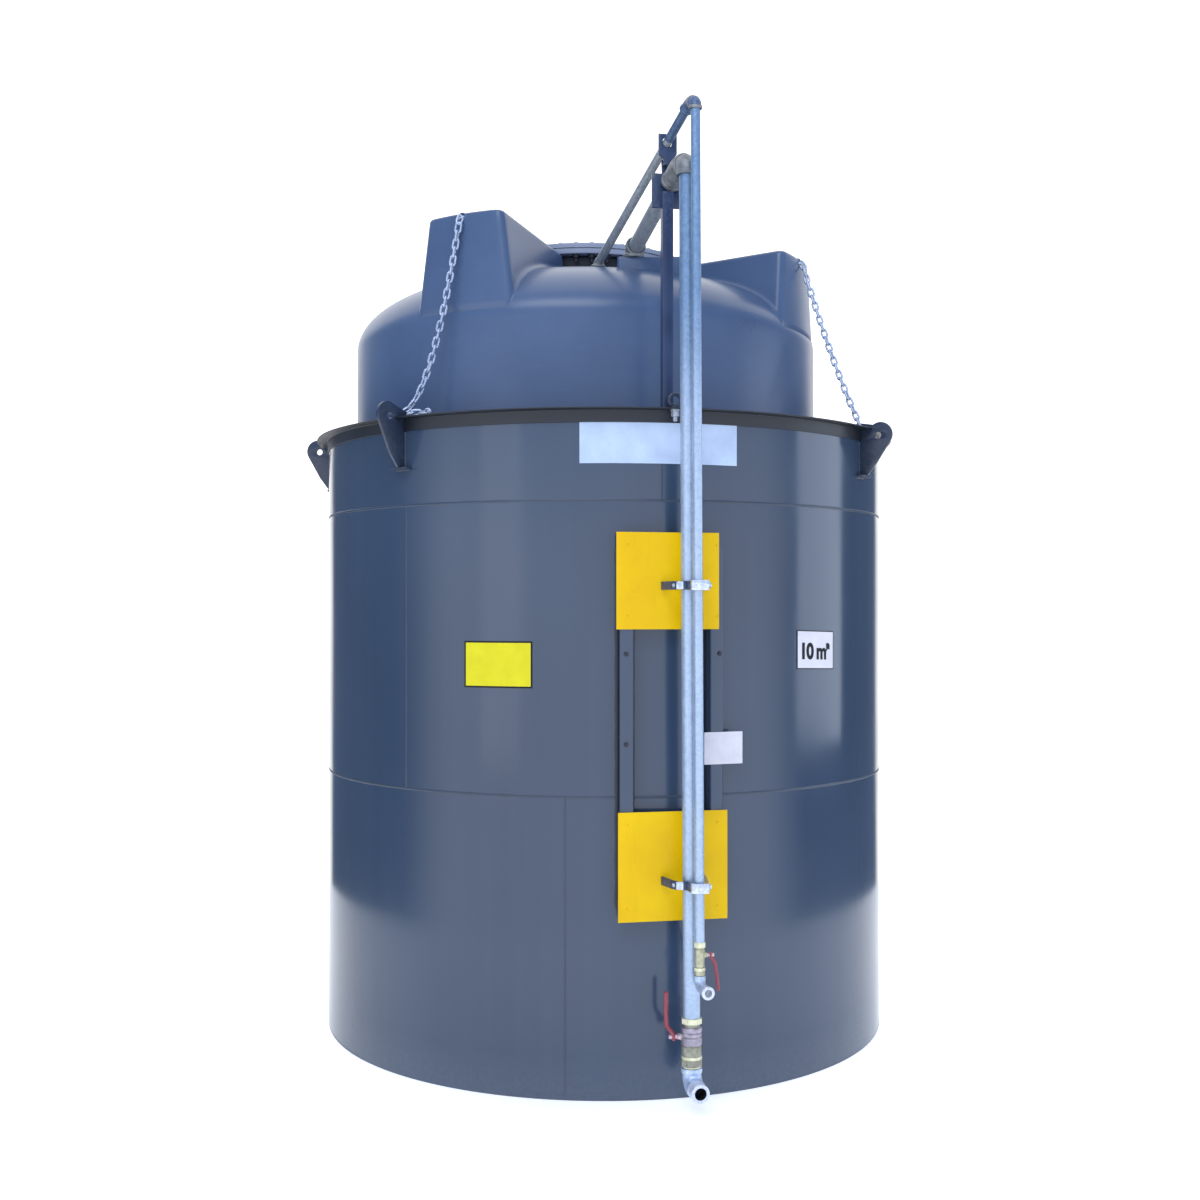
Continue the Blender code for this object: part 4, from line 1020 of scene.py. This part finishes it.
bolt_and_shade_enamel = worn_enamel_of("bolt_enamel_and_painted_shade", "141B26", "1E2633", "3D434D", (0.4, 0.55), 0.5)
section = rounded(oblong(-RAIL_HALF, RAIL_HALF, 0, 2 * RAIL_HALF), (0.001, 0.001, 0.005, 0.005))
level = np.linspace(RAIL_Z[0] + 0.004, RAIL_Z[1] - 0.004, 260)[:, None]
for hand, azimuth, (offset, bolt_levels) in zip(("left", "right"), RAIL_AZIMUTHS, RAIL_BOLTS):
    out, side = outward(azimuth), sideways(azimuth)
    rail = [upright_bar(section, *RAIL_Z, out * (BUND_RADIUS + 0.0004), side, out)]
    dark = []
    for bolt_level in bolt_levels:
        dark += hexagon(out * (RAIL_FACE + 0.0004) + side * offset + up * bolt_level, out, 0.013, 0.006)
    # Near-black strips beside each tube, painted shade in the gap at the wall: 18 mm wide on the left
    # and 9 mm on the right
    for way, width in ((-side, 0.018), (side, 0.009)):
        path = out * (BUND_RADIUS + 0.0005) + way * (RAIL_HALF + width * 0.3) + level * up
        dark.append(bead(path, out, width, 0.0025))
    node = f"panel_rail_{hand}"
    piece(f"{node}_tube", {bund_enamel: rail, bolt_and_shade_enamel: dark}, "rail_steel", node)

# Yellow plates
# Two flat steel sheets, 3 mm thick and yellow enamelled, screwed to the rails. Each is a little
# sprung, with a crease across it near its lower edge.
PANEL_AZIMUTH = 11.35
PLATE_THICKNESS = 0.003
PLATES = {"upper": (-0.205, 0.172, 1.694, 2.040), "lower": (-0.199, 0.203, 0.653, 1.043)}
SCREW_INSET = 0.045

# Sprayed enamel on sheet is flatter than on the wall, its orange peel drawn at 7 mm so that it shows
coat = {"cloud": (5.0, 4.0, 0.5), "grain": (140.0, 1.0, 0.5), "relief": (0.1, 0.0005)}
coat["Specular_IOR_Level"] = 0.2
made = coat_of("yellow_sheet_enamel", "E4B400", "F1C500", (0.26, 0.42), **coat)
yellow_enamel, tree, shader, place, base, _ = made
# Grime runs straight down the sheet in lines about 40 mm apart
grime = {"Vector": add(tree, "Mapping", {"Vector": place, "Scale": (22.0, 22.0, 1.6)}), "Scale": 1.0}
grime = add(tree, "TexNoise", {**grime, "Detail": 6.0, "Roughness": 0.65})
run_mark = add(tree, "MapRange", {"Value": grime, 1: 0.56, 2: 0.8, 4: 0.28})
colour = add(tree, "Mix", {0: run_mark, 6: base, 7: srgb("BD9203")}, data_type="RGBA")
plug(shader, {"Base Color": colour.outputs[2]})

spread = math.radians((RAIL_AZIMUTHS[1] - RAIL_AZIMUTHS[0]) / 2)
rail_front = RAIL_FACE + 0.00045
panel_back = rail_front * math.cos(spread) + RAIL_HALF * math.sin(spread) + 0.0003
plate_front = panel_back + PLATE_THICKNESS + 0.0006
panel_out, panel_side = outward(PANEL_AZIMUTH), sideways(PANEL_AZIMUTH)


def thin_sheet(outer, inner):
    """The shells of a sheet between two grids: its outer face, its inner face and its edge."""
    on, back = slice(None), slice(None, None, -1)
    edges = ((on, 0), (-1, on), (back, -1), (0, back))
    strip = np.stack([np.vstack([grid[edge][:-1] for edge in edges]) for grid in (outer, inner)])
    return [skin(outer, round_columns=False), skin(inner, round_columns=False), skin(strip)]


def sprung_sheet(left, right, low, high):
    """A sheet as (sideways, height) by its small set outwards: a slow bow and a crease."""
    x, z = np.meshgrid(np.linspace(left, right, 41), np.linspace(low, high, 41), indexing="ij")
    across, rise = (x - (left + right) / 2) / (right - left), (z - low) / (high - low)
    bow = 0.0012 * np.cos(across * math.pi) * np.sin(rise * math.pi)
    bow = bow + 0.0009 * np.exp(-np.abs(z - low - 0.030) / 0.012)
    flat = x[..., None] * panel_side + (panel_back + bow)[..., None] * panel_out + z[..., None] * up
    return thin_sheet(flat + PLATE_THICKNESS * panel_out, flat)


screw = [(0, 0), (0.0055, 0), (0.005, 0.0018), (0.003, 0.003), (0, 0.0034)]
for name, (left, right, low, high) in PLATES.items():
    sheet = sprung_sheet(left, right, low, high)
    for azimuth in RAIL_AZIMUTHS:
        offset = rail_front * math.sin(math.radians(azimuth - PANEL_AZIMUTH))
        for level in (low + SCREW_INSET, high - SCREW_INSET):
            spot = panel_side * offset + panel_out * plate_front + up * level
            sheet.append(turned(screw, 16, spot, panel_out))
    piece(f"yellow_{name}_plate", {yellow_enamel: sheet}, "yellow_paint", f"{name}_plate", crease=40)

# Pipe clamps
# A painted arm from the yellow plate holds the large pipe at its left. A flat galvanised strap, 35 mm
# high, is bolted to it and bent round the small pipe, and goes back to the plate on the right. The
# short length of strap that bends in beside the small pipe is in the post's dark blue enamel, as
# painted shade.
CLAMP_LEVELS = {"upper": 1.849, "lower": 0.798}
CLAMP_HEIGHT = 0.035
STRAP = 0.004

strap_zinc = galvanised_of("galvanised_strap", "B4BFD1", "E2E8F2", 0.008, (0.3, 0.45), 0.6)
arm_foot, wrap_foot = ((panel_out * plate_front + panel_side * x)[:2] for x in (-0.024, 0.118))
ARM = [arm_foot + (-0.014, -0.006), (0.238, -1.300), (0.256, -1.3235)]
WAIST = [(0.254, -1.3245), (0.262, -1.3265), (0.2775, -1.3275)]
NECK = [(0.2770, -1.3265), (0.2890, -1.3290), (0.3060, -1.3785)]
WRAP = [(0.3030, -1.3700), (0.3065, -1.3805), (0.3635, -1.3805), (0.3665, -1.318), wrap_foot]


def bent_bar(line, thickness, level, height, bend):
    """A flat bar on edge, bent along a line in plan, with its edges eased."""
    path = bent([(x, y, level) for x, y in line], bend, 8)
    aside = np.cross(unit(np.gradient(path, axis=0)), up)
    section = rounded(oblong(-thickness / 2, thickness / 2, -height / 2, height / 2), 0.001, 2)
    return skin(path[:, None] + section[:, :1] * aside[:, None] + section[:, 1:] * up, ends=True)


for name, level in CLAMP_LEVELS.items():
    bright = [
        bent_bar(WAIST, 0.006, level, CLAMP_HEIGHT - 0.008, 0.003),
        bent_bar(WRAP, STRAP, level, CLAMP_HEIGHT, 0.006),
        *hexagon((0.2475, -1.3125, level), (-0.75, -0.66, 0), 0.013, 0.006),
        *hexagon((0.3675, -1.345, level), (1, -0.05, 0), 0.015, 0.008),
    ]
    painted = [bent_bar(ARM, 0.009, level, 0.030, 0.006)]
    # The strap's bend between the pipes is drawn in dark blue enamel: painted shade
    painted.append(bent_bar(NECK, STRAP, level, CLAMP_HEIGHT - 0.004, 0.004))
    clamp = {strap_zinc: bright, post_enamel: painted}
    piece(f"{name}_clamp_strap", clamp, "clamp_zinc", f"{name}_pipe_clamp")

# Large valve
# A 2 inch two-piece brass ball valve, nickel plated: a cream octagon end, a pinkish round body with
# turned grooves, a duller lower half, and a gland nut on its left.
LARGE_VALVE_Z = (0.152, 0.328)
LARGE_STEM = np.array([*LARGE_VALVE_XY, 0.259])
LEFT, RIGHT = np.array([-1, 0, 0]), np.array([1, 0, 0])


def plated_of(name, dark, light, rough):
    """Dull plated brass castings: fine sand-cast grain, and grime that has dulled the plating."""
    # Grime lies in patches of 18 mm, and the grain of sand is drawn at 2.4 mm so that it shows
    noises = {"cloud": (55.0, 6.0, 0.65), "grain": (420.0, 2.0, 0.5), "relief": (0.25, 0.0004)}
    gloss = (rough + 0.15, rough)
    return coat_of(name, dark, light, gloss, **noises, tones=(0.35, 0.65), Metallic=0.75)[0]


body_plating = plated_of("nickel_plated_body", "958C97", "B8AEBB", 0.42)
nut_plating = plated_of("nickel_plated_nut", "D6D3AE", "EEECCD", 0.4)
stem_plating = plated_of("plated_stem_nut", "B79AA4", "E2CCD4", 0.34)
casting_plating = plated_of("dull_casting", "8C8B7C", "ABA995", 0.45)


def stacked(place, top, lengths):
    """Turned or many-sided lengths one under another, each (sides, radius, its bottom and its top
    below the valve's top, edge), where a many-sided one's radius is to its flats."""
    shells = []
    for sides, radius, bottom, high, edge in lengths:
        corner = radius / math.cos(math.pi / sides) if sides < 12 else radius
        outline = [(0, -bottom), (corner - edge, -bottom), (corner, edge - bottom)]
        outline += [(corner, -high - edge), (corner - edge, -high), (0, -high)]
        shells.append(turned(outline, sides, (*place, top), start=22.5))
    return shells


rings = {
    body_plating: [
        (48, 0.0368, 0.052, 0.032, 0.003),
        (48, 0.0355, 0.066, 0.051, 0.002),
        (48, 0.0362, 0.096, 0.068, 0.002),
    ],
    nut_plating: [
        (8, 0.0350, 0.021, 0.000, 0.002),
        (48, 0.0368, 0.146, 0.134, 0.002),
        (48, 0.0340, 0.176, 0.168, 0.002),
    ],
    stem_plating: [],
    casting_plating: [
        (48, 0.0300, 0.034, 0.019, 0.001),
        (48, 0.0335, 0.070, 0.064, 0.001),
        (48, 0.0330, 0.100, 0.094, 0.001),
        (48, 0.0350, 0.135, 0.098, 0.002),
        (8, 0.0352, 0.170, 0.144, 0.002),
    ],
}
valve = {plating: stacked(LARGE_VALVE_XY, LARGE_VALVE_Z[1], rows) for plating, rows in rings.items()}
gland = [(0, 0.026), (0.0135, 0.026), (0.0135, 0.036), (0.0110, 0.040), (0, 0.040)]
valve[casting_plating].append(turned(gland, 24, LARGE_STEM, LEFT))
valve[stem_plating] += hexagon(LARGE_STEM + LEFT * 0.0385, LEFT, 0.019, 0.0125)
piece("large_valve_body", valve, "valve_brass", "large_valve")

# Valve levers
# Pressed steel strips in a dipped red plastic sleeve, each held on its square stem by a plated nut.
# They turn a quarter circle with the stem.
SMALL_VALVE_Z = (0.492, 0.608)
SMALL_STEM = np.array([*SMALL_VALVE_XY, 0.563])
LARGE_LEVER = [(-0.0625, -0.015), (-0.0645, 0.008), (-0.0885, 0.040), (-0.0905, 0.075), (-0.09, 0.16)]
SMALL_LEVER = [(0.0385, 0.010), (0.039, -0.006), (0.053, -0.028), (0.059, -0.070), (0.065, -0.125)]
SLEEVE_STEP = 0.0015

# Dipped plastic has a thin soft shine, dulled by hands in patches of 17 mm
skinned = {"lumps": 0.1, "Coat_Weight": 0.15}
lever_red = clouded_of("dipped_red_plastic", "7E2E3C", "9C434B", 60.0, (0.28, 0.44), **skinned)


def sleeve(path, width, thickness):
    """An oval section carried along a path in a plane of constant Y, with domed ends."""
    corners = bent(path, 0.012, 8)
    path = []
    for start, end in zip(corners, corners[1:]):
        count = max(1, round(np.linalg.norm(end - start) / SLEEVE_STEP))
        path.append(np.linspace(start, end, count, endpoint=False))
    path = np.vstack([*path, corners[-1:]])
    wide = np.array([0.0, 1.0, 0.0])
    thin = np.cross(unit(np.gradient(path, axis=0)), wide)[:, None]
    run = run_along(path)
    near = np.minimum(run, run[-1] - run) / (thickness / 2)
    size = np.sqrt(1 - (1 - np.clip(near, 0.06, 1)) ** 2)[:, None, None]
    turn = turns(20)[:, None]
    oval = np.cos(turn) * wide * width / 2 + np.sin(turn) * thin * thickness / 2
    return skin(path[:, None] + oval * size, ends=True)


for size, stem, way, line, width, thickness, reach, radius in (
    ("large", LARGE_STEM, LEFT, LARGE_LEVER, 0.0195, 0.0175, (0.0515, 0.080), 0.008),
    ("small", SMALL_STEM, RIGHT, SMALL_LEVER, 0.0155, 0.0130, (0.0285, 0.049), 0.006),
):
    lever = [sleeve([stem + (x, 0, z) for x, z in line], width, thickness)]
    held = [turned(oblong(0, radius, *reach), 16, stem, way)]
    held += hexagon(stem + way * (reach[1] - 0.008), way, radius * 1.9, 0.009)
    lever = {lever_red: lever, stem_plating: held}
    piece(f"{size}_lever_sleeve", lever, "lever_red", f"{size}_valve_lever", body=f"{size}_lever")

# Small valve
# The 1 inch valve of the same kind: octagon nuts at both ends of a round body of greenish cream
# plating, with its gland on the right.
small_plating = plated_of("nickel_plated_small_body", "A8A68A", "CBC9AA", 0.42)
rings = {
    small_plating: [
        (36, 0.0155, 0.024, 0.017, 0.001),
        (36, 0.0174, 0.088, 0.022, 0.003),
        (36, 0.0180, 0.116, 0.099, 0.001),
    ],
    nut_plating: [(8, 0.0190, 0.019, 0.000, 0.0015), (8, 0.0192, 0.100, 0.088, 0.0015)],
}
valve = {plating: stacked(SMALL_VALVE_XY, SMALL_VALVE_Z[1], rows) for plating, rows in rings.items()}
gland = [(0, 0.008), (0.010, 0.008), (0.010, 0.021), (0.0085, 0.023), (0.0085, 0.028), (0, 0.028)]
valve[small_plating].append(turned(gland, 24, SMALL_STEM, RIGHT))
piece("small_valve_body", valve, "valve_brass", "small_valve")

# Outlets
# Galvanised malleable elbows screwed under the valves and turned a little to the right. The large
# one is open, and the small one is closed by a grey plug.
OUTLET_AZIMUTH = 14.0
elbow_zinc = galvanised_of("galvanised_cast_elbow", "A9BAD6", "D3E0F3", 0.005, (0.36, 0.52), 0.6)
mouth_zinc = galvanised_of("galvanised_pale_mouth", "BDC5DA", "E6E9F4", 0.006, (0.36, 0.5), 0.45)
plug_grey = galvanised_of("dull_iron_plug", "7B818E", "A7ADB8", 0.004, (0.4, 0.55), 0.6)
mouth_out = outward(OUTLET_AZIMUTH)


def outlet_parts(upper, centre_z, radius, reach, lip, bore, depth, bend):
    """An elbow from under a valve out to its mouth, with a bead at each end and a hollow bore."""
    centre = np.array([*upper[:2], centre_z])
    mouth = centre + mouth_out * reach
    path = bent([upper, centre, mouth - mouth_out * (depth + 0.002)], bend, 16)
    body = [tube(path, radius, 40, sideways(OUTLET_AZIMUTH))]
    body.append(band(upper - up * 0.009, up, radius, 0.018, radius * 0.1))
    back = max(depth + 0.004, 0.022)
    outline = [(0, -back), (radius, -back), (lip * 0.96, -back + 0.008), (lip, 0), (bore, 0)]
    outline = rounded([*outline, (bore, -depth), (0, -depth)], (0, 0.003, 0.006, 0.003, 0.001, 0, 0))
    wall = bore - 0.0004
    hollow = [(0, -depth + 0.0003), (wall, -depth + 0.0003), (wall, -0.0025), (wall - 0.0004, -0.0025)]
    hollow += [(wall - 0.0004, -depth + 0.0007), (0, -depth + 0.0007)]
    mouth_ring, hollow = turned(outline, 48, mouth, mouth_out), turned(hollow, 40, mouth, mouth_out)
    return {elbow_zinc: body, mouth_zinc: [mouth_ring], hollow_oxide_and_shade: [hollow]}, mouth


upper = np.array([*LARGE_VALVE_XY, LARGE_VALVE_Z[0] - 0.0003])
outlet, _ = outlet_parts(upper, 0.0895, 0.0340, 0.105, 0.0333, 0.0215, 0.045, 0.046)
piece("large_outlet_elbow", outlet, "elbow_zinc", "large_outlet")
upper = np.array([*SMALL_VALVE_XY, SMALL_VALVE_Z[0] - 0.0003])
outlet, mouth = outlet_parts(upper, 0.4534, 0.0190, 0.098, 0.0232, 0.0125, 0.009, 0.030)
plug_line = [(0, -0.008), (0.0118, -0.008), (0.0118, -0.003), (0.0105, -0.001), (0.006, -0.001)]
plug_line += [(0.005, -0.004), (0, -0.004)]
outlet[plug_grey] = [turned(plug_line, 32, mouth, mouth_out)]
piece("small_outlet_elbow", outlet, "elbow_zinc", "small_outlet")

# Signs
# Stickers and plates of printed vinyl film on the wall: a long pale one under the rim and a yellow
# one with a dark border, both blank, a white one with the capacity number, ringed by a thin dark band
# that is painted shadow along its edge, and a blank white card on the right rail.
SQUARE_AZIMUTH, SQUARE_LEVEL, SQUARE_TILT = 42.4, 1.606, -0.03
NUMBER_SIZE = (0.1655, 0.0645)

# Vinyl film is even and satin, and the sun has faded it in patches of 70 to 110 mm
pale_film = clouded_of("pale_vinyl_film", "ABBDD6", "BED1E8", 9.0, (0.32, 0.42))
white_card = clouded_of("white_card_film", "CCC9CF", "DCDADF", 14.0, (0.36, 0.5))
satin = {"Specular_IOR_Level": 0.25}
yellow_film = clouded_of("yellow_vinyl_film", "D2C60E", "DED41C", 12.0, (0.32, 0.44), **satin)
black_print_and_shadow_film = clouded_of("black_vinyl_print_and_painted_shadow", "0C0E13", "191C22", 30.0, (0.5, 0.6), **satin)


def film(span, levels, thickness, border=0.0, tilt=0.0):
    """A sticker on the round wall as a closed thin sheet: its shells, and those of its border."""
    width, height = math.radians(span[1] - span[0]) * BUND_RADIUS, levels[1] - levels[0]
    steps = [np.append(np.linspace(0, size, 25), (border, size - border)) for size in (width, height)]
    across, level = (np.unique(step) for step in steps)
    x, z = np.meshgrid(across, level, indexing="ij")
    azimuth = span[0] + np.degrees(x / BUND_RADIUS)
    z = levels[0] + z + tilt * (x - width / 2)
    outer, inner = (on_wall(azimuth, z, proud) for proud in (thickness, -0.001))
    (points, faces), inner, edge = thin_sheet(outer, inner)
    x, z = np.meshgrid(across[:-1] + across[1:], level[:-1] + level[1:], indexing="ij")
    near = np.minimum(np.minimum(x, 2 * width - x), np.minimum(z, 2 * height - z)).ravel() < 2 * border
    plain, dark = ([face for face, kind in zip(faces, near) if kind == side] for side in (False, True))
    if not border:
        return [(points, plain), inner, edge], []
    return [(points, plain), inner], [(points, dark), edge]


def azimuth_of(x):
    """The azimuth on the wall of a place that is this far right of the middle, seen from the front."""
    return math.degrees(math.asin(x / BUND_RADIUS))


plain, _ = film((azimuth_of(-0.088), azimuth_of(0.486)), (2.290, 2.440), 0.0012)
piece("sign_white_long", {pale_film: plain}, "bund_steel")
plain, border = film((azimuth_of(-0.511), azimuth_of(-0.2585)), (1.480, 1.6495), 0.0014, 0.006)
piece("sign_yellow", {yellow_film: plain, black_print_and_shadow_film: border}, "yellow_paint")
# The thin dark band round this sign is painted shadow along its edge, not a printed border
plain, border = film((37.2, 47.5), (1.538, 1.684), 0.0020, 0.0035, SQUARE_TILT)
piece("sign_square", {white_card: plain, black_print_and_shadow_film: border}, "bund_steel")

out, side = outward(RAIL_AZIMUTHS[1]), sideways(RAIL_AZIMUTHS[1])
card_line = rounded(oblong(-0.075, 0.075, 0, 0.116), 0.002, 2)
card_at = out * (RAIL_FACE + 0.0022) + side * 0.024 + up * 1.2075
card = cut_plate([card_line], 0.002, 0.0004, card_at, side, up)
piece("card_white", {white_card: [card]}, "bund_steel")

text = bpy.data.curves.new("capacity", "FONT")
text.body = "10 m³"
text.size = 0.075
text.align_x = text.align_y = "CENTER"
text.offset = 0.0034
text.space_character = 0.92
points, faces = filled(text)
points = points[:, :2] - (points[:, :2].min(axis=0) + points[:, :2].max(axis=0)) / 2
x, z = (points * NUMBER_SIZE / np.ptp(points, axis=0)).T
azimuth = SQUARE_AZIMUTH + np.degrees(x / BUND_RADIUS)
number = on_wall(azimuth, SQUARE_LEVEL + z + SQUARE_TILT * x, 0.0024)
piece("sign_square_number", {black_print_and_shadow_film: [(number, faces)]}, "bund_steel")
